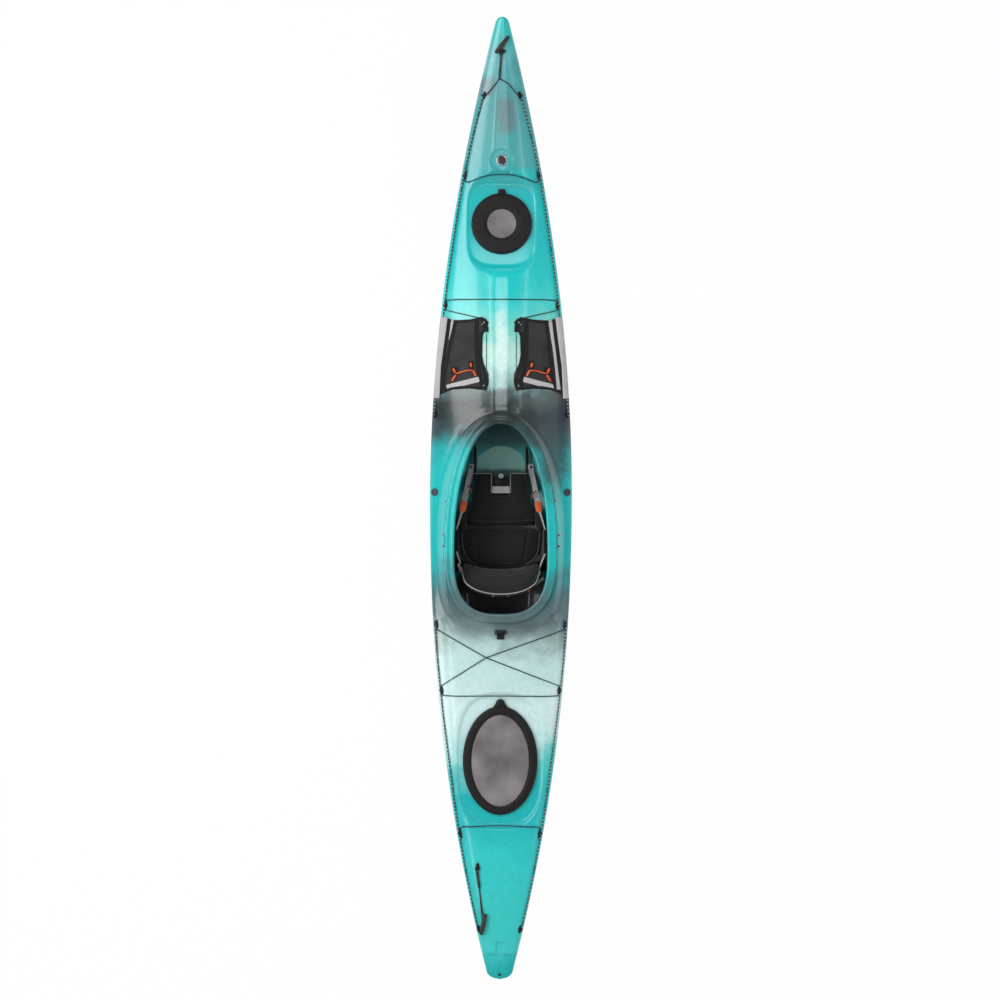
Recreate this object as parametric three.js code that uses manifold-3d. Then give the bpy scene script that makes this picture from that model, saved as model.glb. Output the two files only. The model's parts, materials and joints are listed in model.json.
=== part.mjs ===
// A single-seat touring sea kayak, rotation moulded in one piece, with its hatches, seat, foot braces,
// deck lines, mesh deck pockets and carry handles as separate pieces.
// Millimetres. +X is starboard, +Y is the bow, +Z is up. The origin is on the floor under the middle
// of the hull, where the flat of the keel rests.
import * as THREE from "three";
import { mergeVertices } from "three/addons/utils/BufferGeometryUtils.js";
import Module from "manifold-3d";

const wasm = await Module();
wasm.setup();

// Driving sizes of the hull
const hullLength = 4420;
const hullBeam = 658;
const wall = 6;
const endSolid = 75;
const touchGap = 0.3;
const softGap = 0.6;
const overrun = 30;
const mergeReach = 0.001;

// Plan outline: a power curve each way from the widest station to a blunt rounded tip
const widestShare = 0.012;
const bowPlanPower = 1.92;
const sternPlanPower = 2.13;
const bowTipHalf = 25;
const sternTipHalf = 52;
const bowTipRound = 39;
const sternTipRound = 30;
const tipBluntShare = 0.06;

// Side profile: keel, sheer and deck crown
const sheerHeight = 250;
const bowSheerRise = 135;
const sternSheerRise = 25;
const sheerPower = 3;
const bowKeelRise = 325;
const sternKeelRise = 195;
const flatKeelShare = 0.35;
const rockerPower = 4.5;
const shoulderHeight = 16;
const shoulderPower = 8;
const foreCrown = 110;
const aftCrown = 22;
const endCrown = 12;
const foreCrownPower = 0.8;
const foreDeckPower = 1.45;
const aftDeckPower = 2.5;
const ridgeHalf = 32;
const ridgeBeamShare = 0.2;

// Cross-section of the bottom: a flat keel strip, then a Lame curve up to the sheer
const keelHalf = 46;
const keelEndHalf = 5;
const bilgePower = 2.6;
const bilgeEndPower = 1.25;

// Cockpit opening, its moulded rim and the raised deck round it
const cockpitShare = -0.108;
const cockpitHalfWidth = 214;
const cockpitFore = 588;
const cockpitAft = 284;
const cockpitForePower = 2.15;
const cockpitAftPower = 2.8;
const rimFrontRise = 28;
const rimBackRise = 38;
const rimPower = 1.3;
const rimWidth = 41;
const rimBeadWidth = 18;
const rimThickness = 8;
const rimWall = 10;
const rimStand = 24;
const rimDownstand = 12;
const islandEdge = 48;
const islandTail = 22;
const islandAftPower = 4;
const islandFlank = 30;
const islandFlankDrop = 50;

// Hatches: a cover edge outline, and a profile that both hatches share
const bowHatchShare = 0.576;
const bowHatchRadius = 140;
const bowPanelRadius = 68;
const bowRecessHalfWidth = 153;
const bowRecessHalfLength = 189;
const bowRecessDepth = 5;
const sternHatchShare = -0.544;
const sternHatchHalfWidth = 173;
const sternHatchHalfLength = 251;
const sternPanelHalfWidth = 134;
const sternPanelHalfLength = 210;
const sternRecessMargin = 18;
const sternRecessTail = 42;
const sternRecessDepth = 9;
const recessPower = 4;
const ovalRecessPower = 3;
const recessDraft = 10;
const recessReach = 60;
const coverHeight = 21;
const coverCrown = 1;
const coverEdgeHeight = 13;
const coverEdgeRound = 7;
const coverSkirt = 10;
const coverLift = 1.2;
const coverWeb = 3;
const hatchRimTop = 10.5;
const hatchRimInset = 12;
const hatchRimWidth = 19;
const hatchFlange = 4;
const hatchFlangeStep = 5;
const hatchCollar = 4;
const hatchCollarDrop = 20;
const panelThickness = 4;
const panelCrown = 3;
const bowTab = { length: 24, width: 34, tipShare: 0.8 };
const sternTab = { length: 38, width: 70, tipShare: 0.45 };
const tabThickness = 4;

// Notch in the foredeck and the flat rudder platform at the stern
const notchHalfWidth = 40;
const notchLength = 44;
const notchDepth = 9;
const platformLength = 112;
const platformDrop = 15;
const rudderHoleRadius = 4.5;
const rudderHoleInset = 20;
const rudderHoleDepth = 40;

// Bulkheads
const bulkheadThickness = 45;
const bowBulkheadShare = 0.43;
const sternBulkheadShare = -0.325;

// Deck eyes: places as shares of the half length and of the half beam there
const eyeLength = 42;
const eyeWidth = 20;
const eyePlate = 4;
const eyeFoot = 8;
const eyeArchWidth = 18;
const eyeArchLength = 8;
const eyeArchHeight = 12.5;
const bowEye = { name: "bow", alongShare: 0.8395, acrossShare: 0.72 };
const sternEye = { name: "stern", alongShare: -0.896, acrossShare: 0.86 };
const lineEyes = [
  { name: "fore_deck", alongShare: 0.676, acrossShare: 0.9 },
  { name: "hatch", alongShare: 0.407, acrossShare: 0.93 },
  { name: "cockpit_front", alongShare: 0.181, acrossShare: 0.95 },
  { name: "cockpit_back", alongShare: -0.261, acrossShare: 0.95 },
  { name: "day_deck", alongShare: -0.3975, acrossShare: 0.94 },
  { name: "aft_deck", alongShare: -0.696, acrossShare: 0.92 },
];
const sidePlugShare = 0.017;
const sidePlugBeamShare = 0.93;
const sidePlugRadius = 19;
const sidePlugEdge = 2;
const sidePlugHeight = 5;

// Lines and elastic cords
const lineRadius = 3;
const elasticRadius = 2.5;
const thinCordRadius = 1.75;
const cordSides = 8;
const boreGap = 0.6;
const eyeCordHeight = 7;
const lineShift = 3.6;
const elasticShift = 3.8;
const knotRadius = 4.5;
const knotReach = 14;
const knotAside = 2.5;
const cordLead = 25;
const deckGap = 0.9;
const lineStep = 140;
const elasticStep = 75;
const foreElasticArch = -29;
const hatchElasticArch = -5;
const rearElasticArch = -3;
const aftElasticArch = 10;
const acrossStepShares = [0.8, 0.5, 0.22];
const rearCrossAcross = -67;
const rearCrossAlong = -726;

// Mesh deck pockets: outline shares across from the centre to the gunwale, along from back to front
const pocketFrontShare = 0.374;
const pocketBackShare = 0.209;
const pocketOuterShare = 0.945;
const pocketThickness = 3;
const pocketInnerShares = [0.33, 0.2, 0.175, 0.27, 0.3, 0.3, 0.24, 0.2, 0.35];
const pocketRowShares = [0, 0.1, 0.22, 0.37, 0.53, 0.7, 0.82, 0.93, 1];
const pocketColumnShares = [0, 0.2, 0.45, 0.68, 0.86, 1];
const pocketFrontSkewShares = [0.02, 0, -0.02, -0.015, 0.01, 0.05];
const pocketBackSkewShares = [0, 0.04, 0.045, 0.03, 0, -0.09];
const pocketCordAcross = 64;
const pocketCordEndShares = [0.2, 0.87];
const pocketElasticAcross = 105;

// Carry handles
const toggleLength = 96;
const toggleRadius = 12;
const toggleEndRadius = 8;
const toggleSides = 10;
const handleCordRadius = 2.5;
const handleCordLift = 1;
const eyeCordPast = 5;
const bowToggleAngle = 40;
const bowToggleReach = 221;
const bowBridleReach = 73;
const bowJointAcross = -12;
const bridleSpread = 8;
const sternHandleShare = -0.765;
const sternHandleBeamShare = 0.6;
const sternToggleReach = 262;
const sternToggleInboard = 28;
const sternToggleAngle = 12;
const whippingRadius = 7;
const whippingStart = 28;
const whippingEnd = 96;

// Foot braces
const railForeShare = 0.398;
const railAftShare = 0.217;
const railHeight = 150;
const railDepth = 24;
const railThickness = 8;
const railStandOff = 15;
const railBossLength = 26;
const railBossHalf = 7;
const toothPitch = 25;
const toothWidth = 11;
const toothRoot = 1;
const toothDepth = 3;
const toothHalf = 6;
const pedalShare = 0.3;
const carriageLength = 62;
const carriageThickness = 12;
const carriageLip = 5;
const carriageRoot = 1;
const carriageHook = 3;
const pedalWidth = 88;
const pedalTop = 54;
const pedalBottom = 74;
const pedalThickness = 7;
const pedalLean = 12;
const pedalRibs = 4;
const pedalRibHeight = 3;
const pedalRibWidth = 5;
const leverLength = 46;
const leverWidth = 16;
const leverThickness = 6;
const leverAhead = 16;
const leverDrop = 22;
const leverPinRadius = 2.2;

// Seat: the pan and its tracks
const seatShare = -0.141;
const trackPlace = 128;
const trackWidth = 28;
const trackTop = 34;
const trackFront = 569;
const trackBack = -18;
const trackSlotWidth = 9;
const trackSlotDepth = 10;
const panHalfWidth = 205;
const panFront = 196;
const panBack = -22;
const panTop = 60;
const panThickness = 7;
const panSideRise = 28;
const panFlatHalf = 150;
const panFootWidth = 24;

// Seat: cushions, with outlines as shares of each cushion's half width and length
const cushionThickness = 36;
const cushionCrown = 9;
const cushionSeam = 6;
const seamChannelRadius = 4;
const padHalfWidth = 186;
const padFront = 190;
const padBack = 24;
const padChannelPlace = 122;
const padOutlineShares = [
  [0.3, 1], [0.6, 0.985], [0.88, 0.95], [1, 0.82], [1, 0.6],
  [0.95, 0.38], [0.84, 0.19], [0.66, 0.05], [0.35, 0],
];
const legFront = 434;
const legBack = 206;
const legHalfWidth = 172;
const legNotchHalf = 43;
const legNotchBack = 338;
const legOutlineShares = [
  [0.3, 1], [0.66, 1], [0.72, 0.965], [0.77, 0.81], [0.815, 0.6],
  [0.88, 0.37], [0.97, 0.12], [0.96, 0.02], [0.4, 0],
];
const legPlateThickness = 6;
const legPlateInset = 9;
const legRibPlace = 70;
const legRibWidth = 6;
const legRibDepth = 14;
const legPivotY = 200.7;
const legPivotRadius = 4.4;
const adjusterHalfWidth = 30;
const adjusterBack = 372;
const adjusterFront = 428;
const adjusterHeight = 12;
const adjusterKnobRadius = 9;
const adjusterKnobHeight = 9;

// Seat: the back, its pivot and its hangers
const backPivotY = 29;
const backPivotZ = 118;
const backLean = 29;
const backWrap = 58;
const backFrameInset = 7;
const backFrameHalf = panHalfWidth - backFrameInset;
const backFrameThickness = 6;
const backFrameShares = [
  [1, 0.15], [0.93, 0.22], [0.8, 0.33], [0.74, 0.75], [0.66, 0.92], [0.5, 0.98], [0.2, 1],
];
const backFrameHeight = 205;
const backFrameDrop = 12;
const backWindowNear = 34;
const backWindowFar = 104;
const backWindowLow = 66;
const backWindowHigh = 150;
const backPadInset = 16;
const backPadHalfWidth = backFrameHalf - backPadInset;
const backPadHeight = 246;
const backPadDrop = 8;
const backPadThickness = 26;
const backPadCrown = 9;
const backPadEdge = 9;
const backBracketHalf = 50;
const backBracketDepth = 20;
const backBracketHeight = 15;
const backBossRadius = 10;
const backBossInset = 12;
const backBossProud = 6;
const backBossInner = backFrameHalf - backBossInset;
const backBossOuter = backFrameHalf + backBossProud;
const pivotPinRadius = 5;
const pivotPinInset = 2;
const hangerThickness = 5;
const hangerFront = 178;
const hangerBack = -22;
const hangerFlange = 42;
const hangerBottom = 62;
const hangerSlopeTop = 250;
const hangerWindowWidth = 36;
const hangerWindowLow = 140;
const hangerWindowHigh = 215;
const hangerWindowPlaces = [78, 128];

// Side straps, as places along and heights, with the hull's inside beside them
const strapWidth = 24;
const strapThickness = 3;
const strapAcross = [138, 142, 156, 166, 173, 184, 199, 208];
const strapAlong = [471, 440, 375, 325, 280, 240, 190, 172];
const strapHeights = [36.2, 40, 62, 84, 98, 106, 112, 113];
const buckleWidth = 30;
const buckleHeight = 9;
const tagWidth = 26;
const tagThickness = 8;

// Small deck pieces
const lockBarHalfWidth = 25;
const lockBarDepth = 18;
const lockBarHeight = 16;
const lockBarHoleHeight = 7;
const lockBarTop = 3;
const lockBarBehind = 16;
const lockTongueHalf = 17;
const lockTongueLength = 24;
const lockTongueHeight = 5;

// Derived places
const half = hullLength / 2;
const halfBeamMax = hullBeam / 2;
const widestY = widestShare * half;
const cockpitY = cockpitShare * half;
const cockpitFrontY = cockpitY + cockpitFore;
const cockpitBackY = cockpitY - cockpitAft;
const bowHatchY = bowHatchShare * half;
const sternHatchY = sternHatchShare * half;
const seatY = seatShare * half;
const degree = Math.PI / 180;
const circle = 2 * Math.PI;

const { lerp, clamp, smoothstep } = THREE.MathUtils;
const at = (x, y, z) => new THREE.Vector3(x, y, z);

// Hull surface

// Half the beam at a station: widest amidships, falling as a power of the distance, rounded at the tips.
function halfBeam(y) {
  const ahead = y > widestY;
  const run = ahead ? (y - widestY) / (half - widestY) : (widestY - y) / (half + widestY);
  const tip = ahead ? bowTipHalf : sternTipHalf;
  const power = ahead ? bowPlanPower : sternPlanPower;
  const round = ahead ? bowTipRound : sternTipRound;
  const left = clamp((half - Math.abs(y)) / round, tipBluntShare, 1);
  return (halfBeamMax - (halfBeamMax - tip) * run ** power) * Math.sqrt(1 - (1 - left) ** 2);
}

// Height of the keel: flat amidships, rising to each stem.
function keelZ(y) {
  const run = Math.max(0, (Math.abs(y) / half - flatKeelShare) / (1 - flatKeelShare));
  return (y > 0 ? bowKeelRise : sternKeelRise) * run ** rockerPower;
}

// Height of the sheer, where the topsides meet the deck.
function sheerZ(y) {
  return sheerHeight + (y > 0 ? bowSheerRise : sternSheerRise) * (Math.abs(y) / half) ** sheerPower;
}

// How far the middle of the deck stands above its shoulder.
function crown(y) {
  if (y >= cockpitFrontY) {
    const run = (y - cockpitFrontY) / (half - cockpitFrontY);
    return endCrown + (foreCrown - endCrown) * (1 - run ** foreCrownPower);
  }
  if (y <= cockpitBackY)
    return endCrown + (aftCrown - endCrown) * ((y + half) / (cockpitBackY + half));
  return lerp(aftCrown, foreCrown, smoothstep(y, cockpitBackY, cockpitFrontY));
}

// Height of the deck at a point, before the cockpit island and the hatch recesses.
function deckZ(x, y) {
  const beam = halfBeam(y);
  const ridge = Math.min(ridgeHalf, ridgeBeamShare * beam);
  const out = Math.min(1, Math.max(Math.abs(x), ridge) / beam);
  const power = lerp(aftDeckPower, foreDeckPower, smoothstep(y, cockpitBackY, cockpitFrontY));
  return sheerZ(y) + shoulderHeight * Math.sqrt(1 - out ** shoulderPower) + crown(y) * (1 - out ** power);
}

// Outward normal of the deck at a point.
function deckNormal(x, y) {
  const step = 1 / 2;
  const slopeX = deckZ(x + step, y) - deckZ(x - step, y);
  const slopeY = deckZ(x, y + step) - deckZ(x, y - step);
  return at(-slopeX, -slopeY, 2 * step).normalize();
}

// Half width of the hull's inside at a height, for what is fixed to the topsides.
function insideHalf(y, z) {
  const power = bilgeAt(y);
  const keel = keelHalfAt(y);
  const drop = (sheerZ(y) - z) / (sheerZ(y) - keelZ(y));
  return keel + (halfBeam(y) - keel) * (1 - drop ** power) ** (1 / power) - wall;
}

function bilgeAt(y) {
  return lerp(bilgePower, bilgeEndPower, (Math.abs(y) / half) ** 1.5);
}

function keelHalfAt(y) {
  return lerp(keelHalf, keelEndHalf, (Math.abs(y) / half) ** 2);
}

// One closed section of the hull, drawn in by inset all round.
function hullSection(y, inset, bottomSteps, deckShares) {
  const beam = halfBeam(y);
  const keel = keelHalfAt(y);
  const power = 2 / bilgeAt(y);
  const depth = sheerZ(y) - keelZ(y) - inset;
  const side = [];
  for (let i = 0; i <= bottomSteps; i++) {
    const turn = (i / bottomSteps) * (Math.PI / 2);
    const x = keel + (beam - inset - keel) * Math.sin(turn) ** power;
    side.push(at(x, y, sheerZ(y) - depth * Math.cos(turn) ** power));
  }
  const ridge = Math.min(ridgeHalf, ridgeBeamShare * beam) / beam;
  for (const share of [...deckShares, 0]) {
    const out = lerp(ridge, 1, share);
    side.push(at(out * (beam - inset), y, Math.max(deckZ(out * beam, y) - inset, sheerZ(y) + touchGap)));
  }
  return [...side, ...side.map((p) => at(-p.x, p.y, p.z)).reverse()];
}

// Stations from the stern to the bow, closer together towards the tips.
function hullStations(count) {
  const list = [];
  for (let i = 0; i <= count; i++) {
    const u = (2 * i) / count - 1;
    list.push(half * u * (1.3 - 0.3 * u * u));
  }
  const tipShares = [0.12, 0.35];
  tipShares.forEach((share) => list.push(half - share * bowTipRound, share * sternTipRound - half));
  return list.sort((a, b) => a - b);
}

const stations = hullStations(34);
const outerDeckShares = [0.985, 0.94, 0.85, 0.62, 0.3];
const innerDeckShares = [0.96, 0.86, 0.45];

function outerLoft(grow) {
  return loft(stations.map((y) => hullSection(y, -grow, 7, outerDeckShares)));
}

function innerLoft(inset) {
  const reach = half - endSolid;
  const inside = stations.filter((y, i) => Math.abs(y) < reach && i % 2 === 0);
  return loft([-reach, ...inside, reach].map((y) => hullSection(y, inset, 5, innerDeckShares)));
}

// Solids from points

// A solid from points and triangles, turned to face outwards.
function solidOf(points, faces) {
  const make = (list) =>
    new wasm.Manifold(
      new wasm.Mesh({
        numProp: 3,
        vertProperties: new Float32Array(points.flatMap((p) => [p.x, p.y, p.z])),
        triVerts: new Uint32Array(list.flat()),
      }),
    );
  const made = make(faces);
  return made.volume() < 0 ? make(faces.map(([a, b, c]) => [a, c, b])) : made;
}

// Triangles that fill a flat or nearly flat ring of points.
function fill(ring) {
  const normal = at(0, 0, 0);
  ring.forEach((p, i) => normal.add(at(0, 0, 0).crossVectors(p, ring[(i + 1) % ring.length])));
  const size = [Math.abs(normal.x), Math.abs(normal.y), Math.abs(normal.z)];
  const drop = size.indexOf(Math.max(...size));
  const flat = ring.map((p) => new THREE.Vector2(...[p.x, p.y, p.z].filter((_, i) => i !== drop)));
  return THREE.ShapeUtils.triangulateShape(flat, []);
}

// A skin through rings of equal count, capped at both ends, or closed on itself.
function loft(rings, closed = false) {
  const count = rings[0].length;
  const faces = [];
  const spans = closed ? rings.length : rings.length - 1;
  for (let i = 0; i < spans; i++) {
    const a = i * count;
    const b = ((i + 1) % rings.length) * count;
    for (let j = 0; j < count; j++) {
      const k = (j + 1) % count;
      faces.push([a + j, a + k, b + k], [a + j, b + k, b + j]);
    }
  }
  if (!closed) {
    const last = (rings.length - 1) * count;
    const start = fill(rings[0]);
    const end = fill(rings[rings.length - 1]);
    const forward = edgeRuns(start) ? -1 : 1;
    start.forEach(([a, b, c]) => faces.push(forward > 0 ? [a, b, c] : [a, c, b]));
    const backward = edgeRuns(end) ? 1 : -1;
    end.forEach(([a, b, c]) =>
      faces.push(backward > 0 ? [last + a, last + b, last + c] : [last + a, last + c, last + b]),
    );
  }
  return solidOf(rings.flat(), faces);
}

// Whether a cap's triangles run along the edge from point 0 to point 1.
function edgeRuns(faces) {
  return faces.some((face) => face.some((v, i) => v === 0 && face[(i + 1) % 3] === 1));
}

// A three.js geometry as a solid.
function fromGeometry(geometry) {
  const bare = new THREE.BufferGeometry();
  const plain = geometry.index ? geometry.toNonIndexed() : geometry;
  bare.setAttribute("position", plain.getAttribute("position"));
  const merged = mergeVertices(bare, mergeReach);
  return new wasm.Manifold(
    new wasm.Mesh({
      numProp: 3,
      vertProperties: merged.attributes.position.array,
      triVerts: new Uint32Array(merged.index.array),
    }),
  );
}

// A solid as a named mesh.
function meshOf(name, solid, material) {
  const data = solid.getMesh();
  const positions = new Float32Array(data.numVert * 3);
  for (let i = 0; i < data.numVert; i++)
    positions.set(data.vertProperties.subarray(i * data.numProp, i * data.numProp + 3), i * 3);
  const geometry = new THREE.BufferGeometry();
  geometry.setAttribute("position", new THREE.BufferAttribute(positions, 3));
  geometry.setIndex(new THREE.BufferAttribute(new Uint32Array(data.triVerts), 1));
  geometry.computeVertexNormals();
  const mesh = new THREE.Mesh(geometry, material);
  mesh.name = name;
  return mesh;
}

// A box between two corners.
function block(low, high) {
  const size = at(high.x - low.x, high.y - low.y, high.z - low.z);
  const geometry = new THREE.BoxGeometry(size.x, size.y, size.z);
  geometry.translate(low.x + size.x / 2, low.y + size.y / 2, low.z + size.z / 2);
  return fromGeometry(geometry);
}

// A solid moved into a frame given by its origin and three axes.
function placed(solid, origin, xAxis, yAxis, zAxis) {
  const m = new THREE.Matrix4().makeBasis(xAxis, yAxis, zAxis).setPosition(origin);
  return solid.transform(m.elements);
}

function mirrored(solid) {
  return solid.mirror([1, 0, 0]);
}

// A smooth path whose steps follow its own points: close together at bends, far apart on straights.
class CordPath extends THREE.CatmullRomCurve3 {
  getPointAt(u, target) {
    return this.getPoint(u, target);
  }
  getTangentAt(u, target) {
    return this.getTangent(u, target);
  }
  getSpacedPoints(count) {
    return this.getPoints(count);
  }
}

// A round cord with a step at each of its points.
function cord(points, radius) {
  const shape = new THREE.Shape();
  for (let i = 0; i < cordSides; i++) {
    const turn = ((i + 0.5) / cordSides) * circle;
    shape[i ? "lineTo" : "moveTo"](radius * Math.cos(turn), radius * Math.sin(turn));
  }
  shape.closePath();
  const path = new CordPath(points, false, "centripetal");
  return fromGeometry(new THREE.ExtrudeGeometry(shape, { steps: points.length - 1, extrudePath: path }));
}

// A round bar between two points, with its own radius at its start, middle and end.
function rod(from, to, radius, sides, endRadius = radius, middleRadius = 0) {
  const length = from.distanceTo(to);
  const waist = middleRadius ? [[middleRadius, length / 2]] : [];
  const profile = [[0, 0], [radius, 0], ...waist, [endRadius, length], [0, length]];
  const geometry = new THREE.LatheGeometry(profile.map(([r, y]) => new THREE.Vector2(r, y)), sides);
  const turn = new THREE.Quaternion().setFromUnitVectors(at(0, 1, 0), to.clone().sub(from).normalize());
  geometry.applyQuaternion(turn).translate(from.x, from.y, from.z);
  return fromGeometry(geometry);
}

function ball(centre, radius) {
  const geometry = new THREE.SphereGeometry(radius, 6, 4);
  geometry.translate(centre.x, centre.y, centre.z);
  return fromGeometry(geometry);
}

// A flat strip along points, with its width across the path and level.
function ribbon(points, width, thickness) {
  const rings = points.map((p, i) => {
    const next = points[Math.min(i + 1, points.length - 1)];
    const along = next.clone().sub(points[Math.max(i - 1, 0)]).normalize();
    const across = at(along.y, -along.x, 0).normalize().multiplyScalar(width / 2);
    const up = across.clone().cross(along).normalize().multiplyScalar(thickness / 2);
    return [
      p.clone().sub(across).sub(up),
      p.clone().add(across).sub(up),
      p.clone().add(across).add(up),
      p.clone().sub(across).add(up),
    ];
  });
  return loft(rings);
}

// Outlines: closed curves about a centre, that can be offset along their normal

// A Lame oval with its own reach and power ahead and behind.
function oval(centreY, halfWidth, fore, aft, forePower, aftPower, count) {
  return (offset) => {
    const ring = [];
    for (let i = 0; i < count; i++) {
      const turn = ((i + 0.5) / count) * circle;
      const ahead = Math.cos(turn) > 0;
      const power = ahead ? forePower : aftPower;
      const reach = ahead ? fore : aft;
      const x = Math.sign(Math.sin(turn)) * halfWidth * Math.abs(Math.sin(turn)) ** (2 / power);
      const y = Math.sign(Math.cos(turn)) * reach * Math.abs(Math.cos(turn)) ** (2 / power);
      const slopeX = Math.sign(x) * (Math.abs(x) / halfWidth) ** (power - 1) / halfWidth;
      const slopeY = Math.sign(y) * (Math.abs(y) / reach) ** (power - 1) / reach;
      const size = Math.hypot(slopeX, slopeY);
      ring.push(new THREE.Vector2(x + (slopeX / size) * offset, centreY + y + (slopeY / size) * offset));
    }
    return ring;
  };
}

// A smooth symmetrical outline through the points of its right half, offset along its normals.
function halfOutline(rightHalf) {
  const left = rightHalf.map(([x, y]) => [-x, y]).reverse();
  const ring = [...rightHalf, ...left].map(([x, y]) => new THREE.Vector2(x, y));
  return (offset) =>
    ring.map((p, i) => {
      const before = ring[(i + ring.length - 1) % ring.length];
      const after = ring[(i + 1) % ring.length];
      const into = p.clone().sub(before).normalize();
      const out = after.clone().sub(p).normalize();
      const normal = new THREE.Vector2(-into.y - out.y, into.x + out.x).normalize();
      const miter = Math.max(0.6, Math.sqrt((1 + into.dot(out)) / 2));
      return p.clone().addScaledVector(normal, offset / miter);
    });
}

// A capped solid through an outline at a list of [offset, height] pairs.
function stacked(outline, pairs) {
  return loft(pairs.map(([offset, z]) => outline(offset).map((p) => at(p.x, p.y, z))));
}

// A ring whose section is a list of [offset, height] pairs, carried round an outline.
function ringed(outline, pairs) {
  const columns = pairs.map(([offset, z]) => outline(offset).map((p) => at(p.x, p.y, z)));
  return loft(columns[0].map((_, i) => columns.map((column) => column[i])), true);
}

const cockpitOutline = oval(
  cockpitY, cockpitHalfWidth, cockpitFore, cockpitAft, cockpitForePower, cockpitAftPower, 32,
);
const islandOutline = oval(
  cockpitY,
  cockpitHalfWidth + islandEdge,
  cockpitFore + islandEdge,
  cockpitAft + islandEdge + islandTail,
  cockpitForePower,
  islandAftPower,
  32,
);
const bowHatchOutline = oval(bowHatchY, bowHatchRadius, bowHatchRadius, bowHatchRadius, 2, 2, 24);
const sternHatchOutline = oval(
  sternHatchY, sternHatchHalfWidth, sternHatchHalfLength, sternHatchHalfLength, 2, 2, 28,
);
const bowRecessOutline = oval(
  bowHatchY, bowRecessHalfWidth, bowRecessHalfLength, bowRecessHalfLength, recessPower, recessPower, 24,
);
const sternRecessOutline = oval(
  sternHatchY,
  sternHatchHalfWidth + sternRecessMargin,
  sternHatchHalfLength + sternRecessTail,
  sternHatchHalfLength + sternRecessTail,
  ovalRecessPower,
  ovalRecessPower,
  28,
);

// Floor of each hatch recess: flat, a little under the deck at the recess's side.
const bowFloorZ = deckZ(bowRecessHalfWidth, bowHatchY) - bowRecessDepth;
const sternFloorZ = deckZ(sternHatchHalfWidth + sternRecessMargin, sternHatchY) - sternRecessDepth;

// Height of the top of the cockpit rim, high in front and low behind.
const rimFrontY = cockpitFrontY + rimWidth;
const rimBackY = cockpitBackY - rimWidth;
function rimZ(y) {
  const run = clamp((y - rimBackY) / (rimFrontY - rimBackY), 0, 1);
  return lerp(deckZ(0, rimBackY) + rimBackRise, deckZ(0, rimFrontY) + rimFrontRise, run ** rimPower);
}

// The raised deck round the cockpit, drawn in by inset.
function island(inset) {
  const rings = [
    [islandFlank, -rimStand - islandFlankDrop],
    [0, -rimStand],
  ];
  return loft(
    rings.map(([offset, drop]) =>
      islandOutline(offset - inset).map((p) => at(p.x, p.y, rimZ(p.y) + drop - inset)),
    ),
  );
}

// What is cut down from above for the recesses, notch and platform. A positive grow gives the cut for
// the hollow inside, which keeps the wall's thickness under each floor.
function deckCuts(grow) {
  const notchY = bowHatchY + bowRecessHalfLength;
  const platformY = platformLength - half;
  return [
    stacked(bowRecessOutline, [
      [grow, bowFloorZ - grow],
      [grow + recessDraft, bowFloorZ + recessReach],
    ]),
    stacked(sternRecessOutline, [
      [grow, sternFloorZ - grow],
      [grow + recessDraft, sternFloorZ + recessReach],
    ]),
    block(
      at(-notchHalfWidth - grow, notchY - overrun, deckZ(0, notchY) - notchDepth - grow),
      at(notchHalfWidth + grow, notchY + notchLength + grow, deckZ(0, notchY) + recessReach),
    ),
    block(
      at(-halfBeamMax, -half - overrun, deckZ(0, platformY) - platformDrop - grow),
      at(halfBeamMax, platformY + grow, deckZ(0, platformY) + recessReach),
    ),
  ];
}

const subtractAll = (solid, tools) => tools.reduce((left, tool) => left.subtract(tool), solid);
const addAll = (solids) => solids.reduce((sum, solid) => sum.add(solid));

// The hull: outside less inside, opened for the cockpit and hatches, with the rim moulded on.
function makeHull() {
  const outside = subtractAll(outerLoft(0).add(island(0)), deckCuts(0));
  const inside = subtractAll(innerLoft(wall).add(island(wall)), deckCuts(wall));
  const mouth = loft(
    [-rimStand - rimDownstand - 2 * overrun, overrun].map((height) =>
      cockpitOutline(rimWall / 2).map((p) => at(p.x, p.y, rimZ(p.y) + height)),
    ),
  );
  const collarHole = -hatchRimInset - hatchRimWidth + hatchCollar + touchGap;
  const bowHole = stacked(bowHatchOutline, [
    [collarHole, bowFloorZ - wall - overrun],
    [collarHole, bowFloorZ + overrun],
  ]);
  const sternHole = stacked(sternHatchOutline, [
    [collarHole, sternFloorZ - wall - overrun],
    [collarHole, sternFloorZ + overrun],
  ]);
  const platformTop = deckZ(0, platformLength - half) - platformDrop;
  const rudderHole = new THREE.CylinderGeometry(rudderHoleRadius, rudderHoleRadius, 2 * rudderHoleDepth, 10);
  rudderHole.rotateX(Math.PI / 2).translate(0, rudderHoleInset - half, platformTop);
  return subtractAll(outside, [inside, mouth, bowHole, sternHole, fromGeometry(rudderHole)]).add(makeRim());
}

// The cockpit rim: a wall up from the deck, a rounded bead, and a lip that turns out for a spray deck.
function makeRim() {
  const bead = rimBeadWidth;
  const section = [
    [0, -rimStand - wall - rimDownstand],
    [0, -rimThickness],
    [bead / 3, 0],
    [(2 * bead) / 3, 0],
    [bead, -rimThickness / 2],
    [rimWidth - rimThickness / 2, -rimThickness / 2],
    [rimWidth, -rimThickness],
    [rimWidth - rimThickness / 2, -1.5 * rimThickness],
    [rimWall, -1.5 * rimThickness],
    [rimWall, -rimStand - wall - rimDownstand],
  ];
  const columns = section.map(([offset, drop]) => {
    const base = cockpitOutline(0);
    return cockpitOutline(offset).map((p, i) => at(p.x, p.y, rimZ(base[i].y) + drop));
  });
  return loft(columns[0].map((_, i) => columns.map((column) => column[i])), true);
}

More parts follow.
